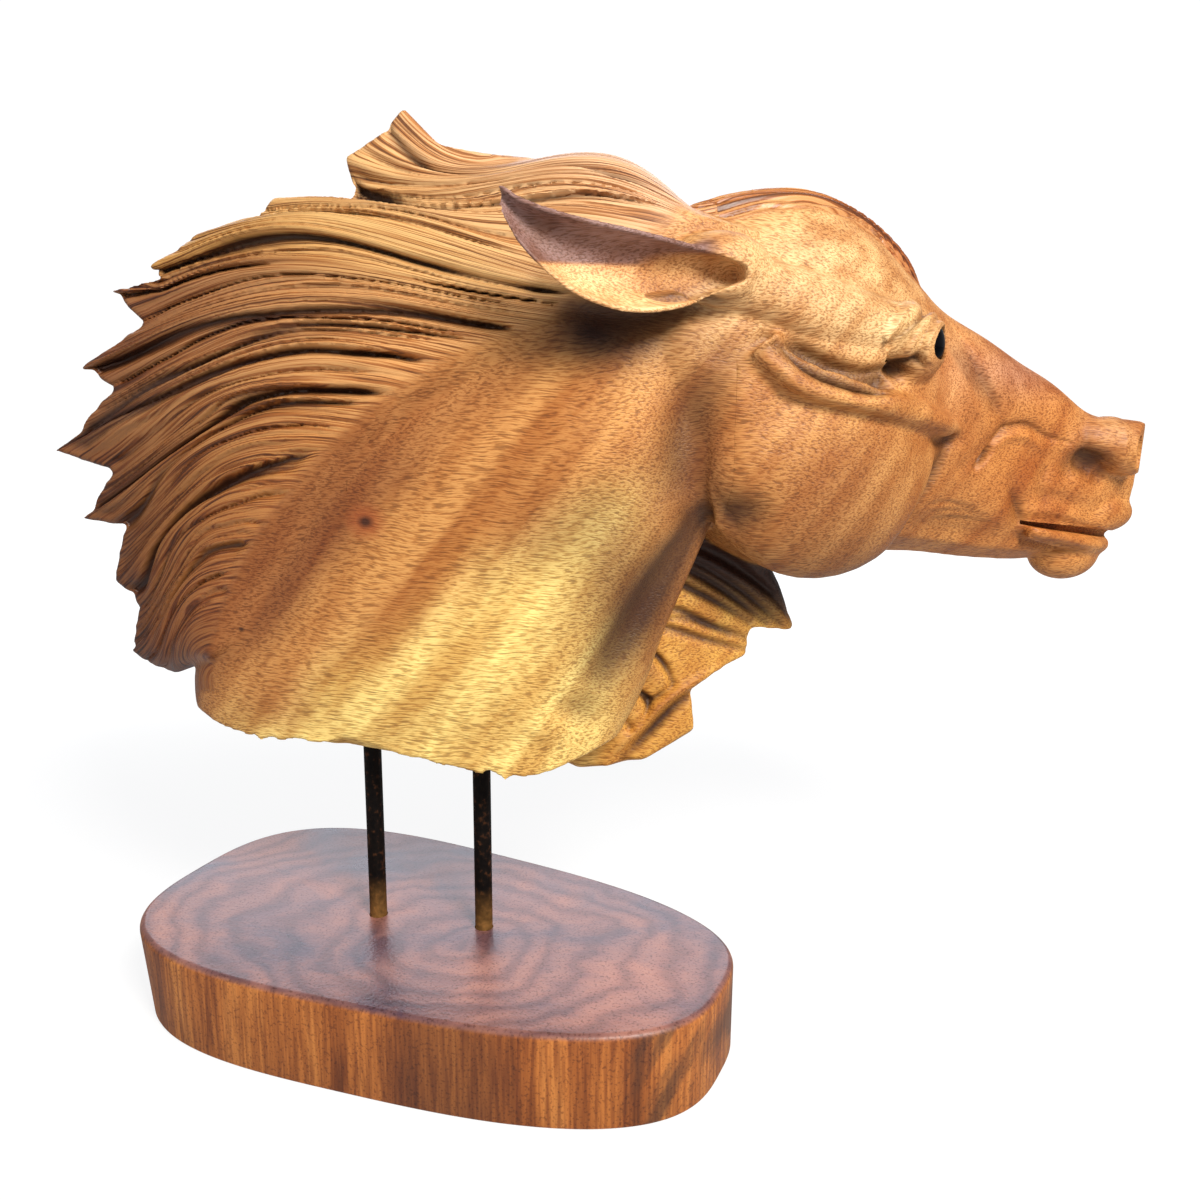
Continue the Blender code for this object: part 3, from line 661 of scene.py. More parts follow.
def mane_slab(per_lock=16, along=50):
    """A closed slab between two fans of hair lines, thick at the hairline and thin at the tips."""
    last = len(LOCKS) - 1.0
    place = np.linspace(0, last, per_lock * (len(LOCKS) - 1) + 1)
    place, share = np.meshgrid(place, np.linspace(0, 1, along), indexing="ij")
    half = MANE_TIP_HALF + (MANE_ROOT_HALF - MANE_TIP_HALF) * (1 - share) ** MANE_TAPER_POWER
    edge = np.minimum(place / MANE_TOP_ROUNDING, (last - place) / MANE_END_ROUNDING).clip(0, 1)
    half = half * (MANE_EDGE_SHARE + (1 - MANE_EDGE_SHARE) * np.sqrt(1 - (1 - edge) ** 2))
    flat = mane_points(place, share)
    inward = flat[:, 0] - flat[:, -1]
    inward *= MANE_SET_IN / np.linalg.norm(inward, axis=1, keepdims=True)
    flat = np.concatenate([(flat[:, 0] + inward)[:, None], flat], axis=1)
    half = np.concatenate([half[:, :1] * MANE_SET_IN_SHARE, half], axis=1)
    rings = []
    for row in range(place.shape[0]):
        near = np.stack([flat[row, :, 0], half[row], flat[row, :, 1]], 1)
        rings.append(np.concatenate([near, (near * (1, -1, 1))[::-1]]))
    return loft(rings)


def tuft_slab():
    """The tuft below the jaw, a slab that lies to the far side of the throat."""
    outline = np.array(TUFT, float)
    middle = outline.mean(axis=0)
    eased = middle + (outline - middle) * TUFT_EASED_SHARE
    rings = []
    for side, ring in (
        (TUFT_NEAR_SIDE, eased),
        (TUFT_NEAR_SIDE + TUFT_EASED_DEPTH, outline),
        (TUFT_FAR_SIDE - TUFT_EASED_DEPTH, outline),
        (TUFT_FAR_SIDE, eased),
    ):
        rings.append(np.stack([ring[:, 0], np.full(len(ring), side), ring[:, 1]], 1))
    return loft(rings)


def add_bodies(name, bodies):
    """One object from several closed bodies, all facing outwards."""
    points = np.concatenate([body_points for body_points, _ in bodies])
    faces, start = [], 0
    for body_points, body_faces in bodies:
        faces += [tuple(start + i for i in face) for face in body_faces]
        start += len(body_points)
    mesh = bpy.data.meshes.new(name)
    mesh.from_pydata([tuple(point) for point in points], [], faces)
    shape = bmesh.new()
    shape.from_mesh(mesh)
    bmesh.ops.recalc_face_normals(shape, faces=shape.faces)
    shape.to_mesh(mesh)
    shape.free()
    piece = bpy.data.objects.new(name, mesh)
    bpy.context.scene.collection.objects.link(piece)
    return piece


# Eyelids, a ball over each eye that is cut open in a slanted almond, and the bead's own room inside
EYE_PLACE = (197.0, 42.0, 182.0)
EYE_OUTWARDS = math.radians(54)
EYE_LOOK = np.array((math.cos(EYE_OUTWARDS), math.sin(EYE_OUTWARDS), 0.05))
EYE_RADIUS = 8.5
EYE_DEPTH = 8.0
EYE_DOME = 4.5
EYE_ROOM_GAP = 0.3
LID_BALL_RADIUS = 15.5
LID_BALL_DEPTH = 9.8
LID_HALF_WIDTH = 8.0
LID_HALF_HEIGHT = 6.2
LID_SLANT = math.radians(-24)
LID_TILT = math.radians(25)
LID_CUT_ENDS = (0.5, 30)


def eye_axes(side):
    """Middle of the eye's rim, and the unit vectors forwards, up and out of the eye."""
    look = EYE_LOOK * (1, side, 1)
    look = look / np.linalg.norm(look)
    ahead = np.cross(np.cross(look, (1, 0, 0)), look)
    ahead /= np.linalg.norm(ahead)
    up = np.cross(look, ahead) * -side
    cos, sin = math.cos(LID_SLANT), math.sin(LID_SLANT)
    return np.array(EYE_PLACE) * (1, side, 1), cos * ahead - sin * up, cos * up + sin * ahead, look


def oval_rings(axes, rows, around=40):
    """A body of elliptical rings about an axis: half width, half height and distance out."""
    middle, ahead, up, look = axes
    turn = 2 * math.pi * np.arange(around) / around
    rings = []
    for wide, high, out in rows:
        ring = wide * np.cos(turn)[:, None] * ahead + high * np.sin(turn)[:, None] * up
        rings.append(middle + out * look + ring)
    return loft(rings)


bodies = [neck_body(), head_body(), mane_slab(), tuft_slab(), bar(FORELOCK)]
for _, along, out, up, *radii in SWELLINGS:
    body = ellipsoid((along, out, up), radii)
    bodies += [body, other_side(*body)]
for _, along, out, up, *radii in MIDDLE_SWELLINGS:
    bodies.append(ellipsoid((along, out, up), radii))
for body in (bar(BROW), bar(CHEEK_BONE), bar(NOSTRIL), bar(LOWER_LIP), ear_body(0.0, EAR_ROUGH_WALL)):
    bodies += [body, other_side(*body)]
for side in (1, -1):
    middle, _, _, look = eye_axes(side)
    bodies.append(ellipsoid(middle - LID_BALL_DEPTH * look, (LID_BALL_RADIUS,) * 3))
head = add_bodies("head_block", bodies)
apply_modifier(head, "REMESH", mode="VOXEL", voxel_size=ROUGHING_GRAIN)
apply_modifier(head, "SMOOTH", factor=0.5, iterations=EASING_PASSES)


def combine(operation, body):
    """Adds a body to the block, or takes it away."""
    tool = add_bodies("tool", [body])
    apply_modifier(head, "BOOLEAN", operation=operation, solver="MANIFOLD", object=tool)
    bpy.data.objects.remove(tool, do_unlink=True)


# The ears are cut crisp again after the easing
ear_hollow = ear_body(0.0, EAR_ROUGH_WALL - EAR_WALL, mouth=30.0)
combine("DIFFERENCE", ear_hollow)
combine("DIFFERENCE", other_side(*ear_hollow))
crisp_ear = ear_body(EAR_ROUGH_WALL - EAR_WALL, EAR_ROUGH_WALL)
combine("UNION", crisp_ear)
combine("UNION", other_side(*crisp_ear))
apply_modifier(head, "REMESH", mode="VOXEL", voxel_size=CARVING_GRAIN)
apply_modifier(head, "SMOOTH", factor=0.5, iterations=3)

# Holes: the mouth's slits, the nostrils, the eye's almonds over the beads' rooms, and the rod bores
MOUTH_CORNER = (266.0, 105.0)
MOUTH_FRONT = (338.0, 93.5)
MOUTH_GAPE = 4.4
MOUTH_CORE = 7.0
MOUTH_REACH = 80.0
MOUTH_OPENING = ((0.0, 0.4), (0.25, 0.7), (1.0, 1.0))
NOSTRIL_RIM = (317.3, 24.6, 136.0)
NOSTRIL_LOOK = math.radians(52)
NOSTRIL_ROWS = ((1.5, 2.5, -12), (3.0, 5.0, -7), (4.2, 6.8, -3), (4.7, 7.7, 1))
NOSTRIL_CUT_ROWS = ((24, 24, 0), (24, 24, 20))
BORE_CUT_START = -20.0
holes = []
for side in (1, -1):
    corner, front = np.array(MOUTH_CORNER), np.array(MOUTH_FRONT)
    rings = []
    for share, gape in MOUTH_OPENING:
        along, up = corner + (front - corner) * share
        half = MOUTH_GAPE * gape / 2
        corners = ((MOUTH_CORE, -half), (MOUTH_REACH, -half), (MOUTH_REACH, half), (MOUTH_CORE, half))
        rings.append(np.array([(along, side * out, up + rise) for out, rise in corners]))
    holes.append(loft(rings))
    cos, sin = math.cos(NOSTRIL_LOOK), side * math.sin(NOSTRIL_LOOK)
    axes = [np.array(row) for row in ((cos, sin, 0), (abs(sin), -side * cos, 0), (0, 0, 1))]
    axes = (np.array(NOSTRIL_RIM) * (1, side, 1), axes[1], axes[2], axes[0])
    holes.append(oval_rings(axes, NOSTRIL_CUT_ROWS))
    holes.append(oval_rings(axes, NOSTRIL_ROWS))
    middle, ahead, up, look = eye_axes(side)
    room = EYE_RADIUS + EYE_ROOM_GAP
    dome = [(room, room, -EYE_DEPTH - EYE_ROOM_GAP)]
    for lift in np.radians((0, 30, 60, 80)):
        dome.append((room * math.cos(lift), room * math.cos(lift), EYE_DOME * math.sin(lift)))
    holes.append(oval_rings((middle, ahead, up, look), dome))
    cos, sin = math.cos(LID_TILT), math.sin(LID_TILT)
    axes = (middle, cos * ahead - sin * look, up, cos * look + sin * ahead)
    holes.append(oval_rings(axes, [(LID_HALF_WIDTH, LID_HALF_HEIGHT, out) for out in LID_CUT_ENDS]))
turn = 2 * math.pi * np.arange(32) / 32
bore_radius = (ROD_DIAMETER / 2 + FIT_CLEARANCE) / STEP
bore_top = (ROD_DEPTH_IN_HEAD + FIT_CLEARANCE) / STEP
for x in ROD_PLACES:
    ring = np.stack([x / STEP + bore_radius * np.cos(turn), bore_radius * np.sin(turn), 0 * turn], 1)
    holes.append(loft([ring + (0, 0, BORE_CUT_START), ring + (0, 0, bore_top)]))

# Folds of the lid behind and above each eye, as rings of its almond: ring, width, height
LID_FOLDS = (
    (1.22, 0.13, 0.9), (1.52, 0.11, -1.1), (1.78, 0.11, 0.5), (2.10, 0.12, -3.0), (2.48, 0.24, 1.8),
)

# Cuts and ridges drawn on both sides of the face: name, points along and up, width, and height,
# which is below zero for a cut
STROKES = (
    ("brow groove", ((128, 182), (138, 179), (150, 172), (166, 167), (180, 170), (188, 175)), 4.4, -5.5),
    ("under the brow", ((129, 184), (141, 181), (155, 175), (168, 172), (181, 174), (190, 177)), 1.6, -2.6),
    ("brow fold", ((136, 190), (152, 183), (168, 179), (182, 181)), 7.0, 2.2),
    ("basin", ((133, 175), (146, 171), (160, 167)), 4.5, -1.6),
    ("cheek ridge", ((127, 183), (128, 174), (138, 166), (154, 162), (176, 158)), 3.2, 1.6),
    ("cheek point", ((196, 155), (208, 151), (220, 148)), 3.0, 2.2),
    ("below the point", ((206, 145), (214, 142), (224, 143)), 2.6, -2.0),
    ("jowl front", ((219, 145), (214, 130), (206, 115), (197, 102)), 4.5, -3.0),
    ("jowl front line", ((220, 144), (216, 131), (209, 117), (201, 106)), 1.7, -1.3),
    ("jowl back", ((116, 176), (108, 158), (106, 138), (110, 116)), 9.0, -3.5),
    ("nose side", ((215, 186), (226, 172), (240, 157)), 5.0, -2.2),
    ("nose side ridge", ((213, 180), (224, 165), (236, 150)), 3.0, 0.9),
    ("tear groove", ((221, 188), (233, 170), (248, 148)), 2.4, -1.3),
    ("nostril back", ((287, 130), (295, 132), (303, 127)), 5.5, -4.8),
    ("nostril rim", ((309, 147), (307, 136), (309, 124)), 2.0, 0.9),
    ("nostril wing", ((292, 150), (290, 140), (293, 130), (302, 124)), 3.5, -1.6),
    ("face vein", ((228, 131), (237, 138), (248, 146), (260, 148), (274, 142)), 3.2, -1.2),
    ("vein pit", ((236, 131), (239, 134), (242, 138)), 1.5, -4.0),
    ("vein line", ((240, 137), (247, 146), (253, 148), (262, 148), (272, 143), (284, 140)), 1.2, -1.3),
    ("vein ridge", ((243, 139), (250, 143), (260, 143.5), (270, 138)), 2.2, 1.2),
    ("lip fold", ((256, 124), (262, 112), (266, 100)), 5.0, -1.8),
    ("lip crease", ((258, 118), (263, 110), (266, 104)), 1.6, -1.2),
    ("upper lip edge", ((266, 110), (279, 110), (295, 106), (312, 101)), 2.2, 1.2),
    ("upper lip hollow", ((268, 118), (284, 116), (300, 111)), 3.0, -1.2),
    ("lower lip top", ((266, 103), (280, 99.5), (296, 95.5), (312, 92)), 1.8, 1.6),
    ("lower lip under", ((268, 97), (284, 93.5), (300, 90)), 2.0, -1.8),
    ("jaw line", ((206, 108), (236, 104), (262, 98)), 6.0, -1.6),
    ("wrinkle one", ((216, 115), (226, 115.5), (240, 112)), 1.5, -0.8),
    ("wrinkle two", ((219, 111.5), (232, 111.5), (245, 108.5)), 1.5, -0.8),
    ("wrinkle three", ((222, 108), (235, 107.5), (250, 105)), 1.5, -0.7),
    ("muzzle fold", ((276, 132), (272, 124), (274, 116)), 4.0, -1.3),
    ("throat", ((72, 36), (86, 62), (100, 88), (112, 106), (122, 116)), 9.0, -8.0),
    ("throat ridge", ((62, 26), (80, 52), (94, 84), (106, 108)), 8.0, 2.5),
    ("neck hollow", ((40, 92), (66, 108), (92, 128)), 16.0, -2.0),
    ("ear root fold", ((100, 196), (112, 198), (122, 204)), 4.0, -2.0),
    ("hollow under the ear", ((58, 200), (76, 193), (94, 192), (110, 197)), 6.5, -4.5),
)


def stroke_height(flat, path, width, height):
    """How much a stroke along a path raises each point in side view. It fades at its ends."""
    path = smooth_rows(path, 4)
    lengths = np.concatenate([[0], np.cumsum(np.linalg.norm(np.diff(path, axis=0), axis=1))])
    move = np.zeros(len(flat))
    reach = 3 * width
    near = np.flatnonzero(((flat > path.min(0) - reach) & (flat < path.max(0) + reach)).all(axis=1))
    spots = flat[near]
    best = np.full(len(near), np.inf)
    where = np.zeros(len(near))
    for start, end, length in zip(path, path[1:], lengths):
        run = end - start
        share = np.clip(((spots - start) @ run) / (run @ run), 0, 1)
        gap = np.linalg.norm(spots - start - share[:, None] * run, axis=1)
        nearer = gap < best
        best[nearer] = gap[nearer]
        where[nearer] = length + share[nearer] * np.linalg.norm(run)
    fade = np.sin(np.pi * np.clip(where / lengths[-1], 0.08, 0.92)) ** 0.5
    move[near] = height * fade * np.exp(-((best / width) ** 2))
    return move


# Passes that even out the table of hair places
TABLE_BLURS = 2


def hair_places(flat, reach=6.0, cell=1.5):
    """Lock place and share at points in side view, and how surely each is in the mane."""
    place = np.linspace(0, len(LOCKS) - 1, 40 * (len(LOCKS) - 1) + 1)
    place, share = np.meshgrid(place, np.linspace(0, 1, 140), indexing="ij")
    table = mane_points(place, share).reshape(-1, 2)
    low = table.min(axis=0) - 10
    size = np.ceil((table.max(axis=0) + 10 - low) / cell).astype(int)
    index = ((table - low) / cell).astype(int)
    key = index[:, 0] * size[1] + index[:, 1]
    count = np.bincount(key, minlength=size[0] * size[1]).astype(float).reshape(size)
    layers = [count]
    for values in (place, share):
        layers.append(np.bincount(key, values.ravel(), size[0] * size[1]).reshape(size))
    for axis in (0, 1) * TABLE_BLURS:
        layers = [(np.roll(row, 1, axis) + 2 * row + np.roll(row, -1, axis)) / 4 for row in layers]
    count, *sums = layers
    for _ in range(int(reach / cell)):
        empty = count < 1e-6
        spread = [np.zeros_like(count) for _ in range(3)]
        for step in ((1, 0), (-1, 0), (0, 1), (0, -1)):
            for total, source in zip(spread, (count, *sums)):
                total += np.roll(source, step, axis=(0, 1))
        for target, total in zip((count, *sums), spread):
            target[empty] = total[empty]
    spot = (flat - low) / cell - 0.5
    base = np.clip(np.floor(spot).astype(int), 0, size - 2)
    part = np.clip(spot - base, 0, 1)
    inside = ((spot >= 0) & (spot < size - 1)).all(axis=1)
    weight = np.zeros(len(flat))
    found = [np.zeros(len(flat)), np.zeros(len(flat))]
    for di in (0, 1):
        for dj in (0, 1):
            i, j = base[:, 0] + di, base[:, 1] + dj
            corner = (count[i, j] > 1e-6) * inside
            corner = corner * (part[:, 0] if di else 1 - part[:, 0])
            corner = corner * (part[:, 1] if dj else 1 - part[:, 1])
            weight += corner
            for total, source in zip(found, sums):
                total += corner * source[i, j] / np.maximum(count[i, j], 1e-6)
    safe = np.maximum(weight, 1e-9)
    return found[0] / safe, found[1] / safe, weight


def soft_noise(places, seed):
    """Smooth random values from -1 to 1 over two coordinates, with one knot at each whole number."""
    table = np.random.default_rng(seed).uniform(-1, 1, (64, 64))
    cell = np.floor(places).astype(int)
    part = places - cell
    part = part * part * (3 - 2 * part)
    value = np.zeros(len(places))
    for i in (0, 1):
        for j in (0, 1):
            weight = (part[:, 0] if i else 1 - part[:, 0]) * (part[:, 1] if j else 1 - part[:, 1])
            value += weight * table[(cell[:, 0] + i) % 64, (cell[:, 1] + j) % 64]
    return value


def rises(values, low, high):
    """Zero below low, one above high, and a smooth rise between them."""
    share = np.clip((values - low) / (high - low), 0, 1)
    return share * share * (3 - 2 * share)


# Deep furrows of the mane: lock place at the root, halfway and at the tip, half width in locks, depth
FURROWS = (
    (1.25, 0.75, 0.34, 0.09, 3.0), (2.48, 2.20, 1.35, 0.15, 4.5), (3.30, 3.20, 3.10, 0.06, 2.4),
    (4.30, 4.42, 4.50, 0.18, 5.0), (5.15, 5.20, 5.10, 0.07, 3.4), (6.20, 6.40, 6.15, 0.10, 4.8),
    (6.60, 6.74, 6.95, 0.06, 2.8), (7.20, 7.10, 7.00, 0.08, 4.2), (7.80, 7.95, 7.95, 0.07, 4.2),
    (8.00, 8.20, 8.45, 0.06, 3.2), (9.00, 9.20, 9.26, 0.07, 3.8), (10.1, 10.1, 10.0, 0.06, 3.2),
)
# Finer grooves between them: how many to a lock, their depth, how narrow they are, and their seed.
# A groove narrower than the finest hair is left out, as the mesh is too coarse for it.
HAIR_CUTS = ((3, 3.2, 2.2, 12), (7, 2.4, 1.5, 13), (11, 1.3, 1.2, 14))
FINEST_HAIR = 1.1
CREST_STRANDS = 0.030
FORELOCK_HALF = 15.0
FORELOCK_STRAND = 3.3


def crest_place(points, place, share):
    """Lock place shifted by the distance from the middle, so that strands also run over the crest."""
    return place + CREST_STRANDS * abs(points[:, 1]) * rises(share, 1.0, 0.2)


def off_ears(points):
    """Nothing as far out as the ears, one nearer the middle."""
    return rises(abs(points[:, 1]), 42, 39)


def mane_cuts(points, place, share, held):
    """Depth of the mane's grooves, which wander, start unevenly and crowd at the tips."""
    place = crest_place(points, place, share)
    place = place + 0.10 * soft_noise(np.stack([place * 1.3, share * 3.5], 1), 5)
    place = place + 0.03 * soft_noise(np.stack([place * 4.0, share * 9.0], 1), 6)
    total = np.zeros(len(points))
    across = mane_points(place + 0.05, share) - mane_points(place - 0.05, share)
    width = np.linalg.norm(across, axis=1) * 10
    for root, halfway, tip, half, depth in FURROWS:
        centre = np.interp(share, (0, 0.5, 1), (root, halfway, tip))
        wide_enough = rises(half * width, FINEST_HAIR, 1.5 * FINEST_HAIR) * rises(share, 0.02, 0.10)
        total += depth * np.exp(-(((place - centre) / half) ** 2)) * wide_enough
    for per_lock, depth, power, seed in HAIR_CUTS:
        chance = np.random.default_rng(seed).uniform(0, 1, (2, 512))
        count = place * per_lock + 0.5
        which = np.round(count).astype(int) % 512
        valley = (2 * abs(count - np.floor(count) - 0.5)) ** power
        start = -0.02 + 0.13 * chance[0, which]
        swell = 0.8 + 0.3 * soft_noise(np.stack([which * 1.7, share * 6.0], 1), seed + 20)
        wide_enough = rises(width / per_lock * (1 - 0.5 ** (1 / power)), FINEST_HAIR, 2 * FINEST_HAIR)
        depth = depth * (0.4 + 0.6 * chance[1, which]) * wide_enough
        total += depth * valley * swell * rises(share, start, start + 0.07) * rises(share, 1.02, 0.93)
    return total * rises(held, 0.5, 1.0) * off_ears(points)


def forelock_share(points, normals):
    """One on the forelock, which lies over the poll and the forehead, and nothing off it."""
    across = rises(FORELOCK_HALF - abs(points[:, 1]), 0.0, 3.0)
    along = rises(points[:, 0], 104, 114) * rises(points[:, 0], 216, 208)
    return across * along * rises(normals[:, 2], -0.1, 0.25) * rises(points[:, 2], 190, 196)


def forelock_cuts(points, share):
    spot = np.stack([points[:, 0] / 26.0, points[:, 1] / 6.0], 1)
    across = points[:, 1] / FORELOCK_STRAND + 0.9 * soft_noise(spot, 31) + 60
    which = np.round(across).astype(int)
    chance = np.random.default_rng(32).uniform(0.4, 1, 128)
    valley = (2 * abs(across - which)).clip(0, 1)
    slant = points[:, 0] / 4.5 + points[:, 1] / 9.0
    nicks = (1 - 2 * abs(slant - np.round(slant))) ** 4 * rises(points[:, 0], 168, 190)
    return share * (1.6 * chance[which % 128] * (1 - valley) ** 1.3 + 0.6 * nicks)


# Gouge work on the tuft: strand cuts above, and overlapping scallops below
TUFT_STROKES = (
    ("strand one", ((95, 74), (104, 84), (119, 78), (134, 70), (145, 63)), 2.0, -2.4),
    ("strand two", ((99, 88), (113, 88), (132, 78), (153, 62)), 2.0, -2.6),
    ("strand three", ((108, 94), (122, 89), (141, 77), (160, 61)), 1.8, -2.4),
    ("strand four", ((117, 97), (131, 91), (150, 79), (165, 65)), 1.8, -2.4),
    ("strand five", ((90, 60), (104, 63), (123, 57), (146, 50)), 1.8, -1.8),
    ("strand six", ((93, 67), (108, 71), (127, 63), (146, 55)), 1.8, -2.0),
    ("between five and six", ((100, 67), (115, 66), (135, 58)), 1.4, -1.2),
    ("strand seven", ((104, 100), (122, 97), (140, 88), (156, 76)), 1.6, -2.2),
    ("scallop one top", ((82, 51), (91, 55), (101, 51), (107, 44), (110, 37)), 1.7, -2.8),
    ("scallop one", ((88, 44), (96, 46), (103, 40)), 5.0, 2.4),
    ("scallop one foot", ((108, 35), (102, 31), (98, 30)), 1.7, -2.0),
    ("scallop two top", ((80, 42), (91, 36), (99, 30), (97, 22), (91, 17)), 1.7, -2.8),
    ("scallop two", ((80, 34), (88, 31), (92, 25)), 4.5, 2.0),
    ("scallop three top", ((77, 28), (85, 25), (91, 18)), 1.6, -2.4),
    ("scallop three", ((76, 20), (83, 18), (86, 12)), 4.0, 1.6),
    ("long ridge", ((80, 2), (92, 16), (106, 30), (118, 37), (131, 43)), 2.4, 2.0),
    ("long ridge foot", ((88, 4), (100, 16), (112, 28), (124, 36)), 2.6, -2.2),
)


def carve(points, normals):
    """Points after all the cuts and ridges, and how deep each lies in a cut, from nothing to one."""
    flat = points[:, [0, 2]]
    sideways = np.clip(abs(normals[:, 1]) * 1.6, 0, 1)
    on_tuft = rises(points[:, 1], -1, 1.5) * rises(points[:, 1], 29, 26) * rises(points[:, 0], 66, 80)
    face = np.zeros(len(points))
    for _, path, width, height in STROKES:
        face += stroke_height(flat, path, width, height)
    on_ear = rises(abs(points[:, 1]), 39, 44) * (points[:, 0] < 122) * (points[:, 2] > 186)
    face *= sideways * (1 - on_tuft * (points[:, 2] < 105)) * (1 - on_ear)
    tuft = np.zeros(len(points))
    for _, path, width, height in TUFT_STROKES:
        tuft += stroke_height(flat, path, width, height)
    tuft *= on_tuft * np.clip(abs(normals[:, 1]) * 1.3, 0.3, 1)
    for side in (1, -1):
        middle, ahead, up, look = eye_axes(side)
        away = points - middle
        wide, high = away @ ahead, away @ up
        oval = np.hypot(wide / LID_HALF_WIDTH, high / LID_HALF_HEIGHT)
        near = (abs(away @ look) < 12) & (np.hypot(wide, high) < 24)
        lid = np.zeros(len(points))
        for ring, ring_width, ring_height in LID_FOLDS:
            lid += ring_height * np.exp(-(((oval - ring) / ring_width) ** 2))
        lid *= rises(high - 0.6 * wide, -3, 4)
        lid -= 2.2 * np.exp(-(((wide + 15.5) / 3.5) ** 2) - ((high + 1.0) / 2.4) ** 2)
        face = face * np.where(near, rises(np.hypot(wide, high), 10, 14), 1) + near * lid
    place, share, held = hair_places(flat)
    cuts = mane_cuts(points, place, share, held) * np.clip(abs(normals[:, 1]) * 2, 0.45, 1)
    lock = forelock_share(points, normals)
    cuts = cuts * (1 - lock) + forelock_cuts(points, lock)
    lift = face + tuft - cuts + 0.9 * lock
    chipped = rises(-normals[:, 2], 0.2, 0.6) * rises(points[:, 2], 34, 22)
    lift += chipped * 0.7 * soft_noise(points[:, :2] / 9.0, 41)
    # How deep a point lies in a cut, which the material turns into painted shade.
    in_cut = np.clip((cuts - 1.2) / 4.2, 0, 1)
    in_cut += np.clip(-face / 7.0, 0, 0.6) + np.clip(-tuft / 3.0, 0, 1)
    return points + normals * lift[:, None], np.clip(in_cut, 0, 1)


def read_points(mesh):
    """Places and normals of a mesh's points."""
    points = np.empty(len(mesh.vertices) * 3, np.float32)
    normals = np.empty(len(mesh.vertices) * 3, np.float32)
    mesh.vertices.foreach_get("co", points)
    mesh.vertex_normals.foreach_get("vector", normals)
    return points.reshape(-1, 3).astype(float), normals.reshape(-1, 3).astype(float)


def write_points(mesh, points):
    mesh.vertices.foreach_set("co", points.astype(np.float32).ravel())
    mesh.update()


def write_attribute(mesh, name, kind, values):
    added = mesh.attributes.new(name, kind, "POINT")
    field = {"FLOAT": "value", "FLOAT_VECTOR": "vector", "FLOAT_COLOR": "color"}[kind]
    added.data.foreach_set(field, np.ascontiguousarray(values, np.float32).ravel())


def turned(points):
    """Grid points in metres on the stand, with the face bent away to the side."""
    radius = (TURN_ENDS - TURN_STARTS) / FACE_TURN
    angle = np.clip((points[:, 0] - TURN_STARTS) / (TURN_ENDS - TURN_STARTS), 0, 1) * FACE_TURN
    past = np.clip(points[:, 0] - TURN_ENDS, 0, None)
    along = np.minimum(points[:, 0], TURN_STARTS) + radius * np.sin(angle) + past * np.cos(angle)
    aside = radius * (1 - np.cos(angle)) + past * np.sin(angle)
    x = along - points[:, 1] * np.sin(angle)
    y = aside + points[:, 1] * np.cos(angle)
    return np.stack([x, y, points[:, 2]], 1) * STEP + (0, 0, PLINTH_THICKNESS + HEAD_OVER_PLINTH)


points, normals = read_points(head.data)
points, in_cut = carve(points, normals)
write_points(head.data, points)
write_attribute(head.data, "in_cut", "FLOAT", in_cut)
for hole in holes:
    combine("DIFFERENCE", hole)
triangles = len(head.data.loops) - 2 * len(head.data.polygons)
apply_modifier(head, "DECIMATE", ratio=min(1.0, HEAD_TRIANGLES / triangles))

# The block's mesh is parted straight across into pieces of like size, which meet face to face
BLOCK_MARGIN = 50.0
places_along = np.sort(read_points(head.data)[0][:, 0])
partings = [places_along[0] - BLOCK_MARGIN]
for i in range(1, len(HEAD_PIECES)):
    partings.append(places_along[len(places_along) * i // len(HEAD_PIECES)])
partings.append(places_along[-1] + BLOCK_MARGIN)
head_parts = []
for low, high in zip(partings, partings[1:]):
    part = head.copy()
    part.data = head.data.copy()
    bpy.context.scene.collection.objects.link(part)
    deselect_all()
    part.select_set(True)
    bpy.context.view_layer.objects.active = part
    bpy.ops.object.mode_set(mode="EDIT")
    for place, forwards in ((low, -1), (high, 1)):
        bpy.ops.mesh.select_all(action="SELECT")
        bpy.ops.mesh.bisect(
            plane_co=(place, 0, 0), plane_no=(forwards, 0, 0), use_fill=True, clear_outer=True
        )
    bpy.ops.mesh.select_all(action="SELECT")
    bpy.ops.mesh.fill_holes(sides=0)
    bpy.ops.mesh.normals_make_consistent(inside=False)
    bpy.ops.object.mode_set(mode="OBJECT")
    head_parts.append(part)
bpy.data.objects.remove(head, do_unlink=True)

# Colours of the carved block, laid by where the wood's own zones are, with one painted shadow: tone, middle
# along and up, reach along and up, and how far it takes over. Sapwood is yellow, heartwood brown. The
# near-black last zone is painted shadow under the ears.
NECK_TONE = "#CE9454"
ZONES = (
    ("#C88C50", 20, 150, 60, 30, 0.6),
    ("#E8C490", 150, 208, 48, 30, 0.9),
    ("#EACB96", 178, 190, 24, 14, 0.8),
    ("#B07C48", 160, 122, 42, 30, 0.85),
    ("#A9693A", 112, 140, 10, 40, 0.55),
    ("#744824", 90, 84, 20, 34, 0.88),
    ("#8E6036", 165, 96, 40, 18, 0.75),
    ("#C07A3C", 270, 130, 48, 60, 0.95),
    ("#E0A46C", 218, 168, 16, 22, 0.8),
    ("#B4806A", 262, 172, 46, 10, 0.7),
    ("#D0A070", 304, 146, 14, 8, 0.7),
    ("#C4803F", 290, 92, 18, 10, 0.5),
    # Painted shadow: near-black on the neck under each ear, where the ear's shade falls.
    ("#24161C", 80, 188, 26, 12, 0.97),
)
SAPWOOD = "#FFE28C"
REAR_HEARTWOOD = "#986034"
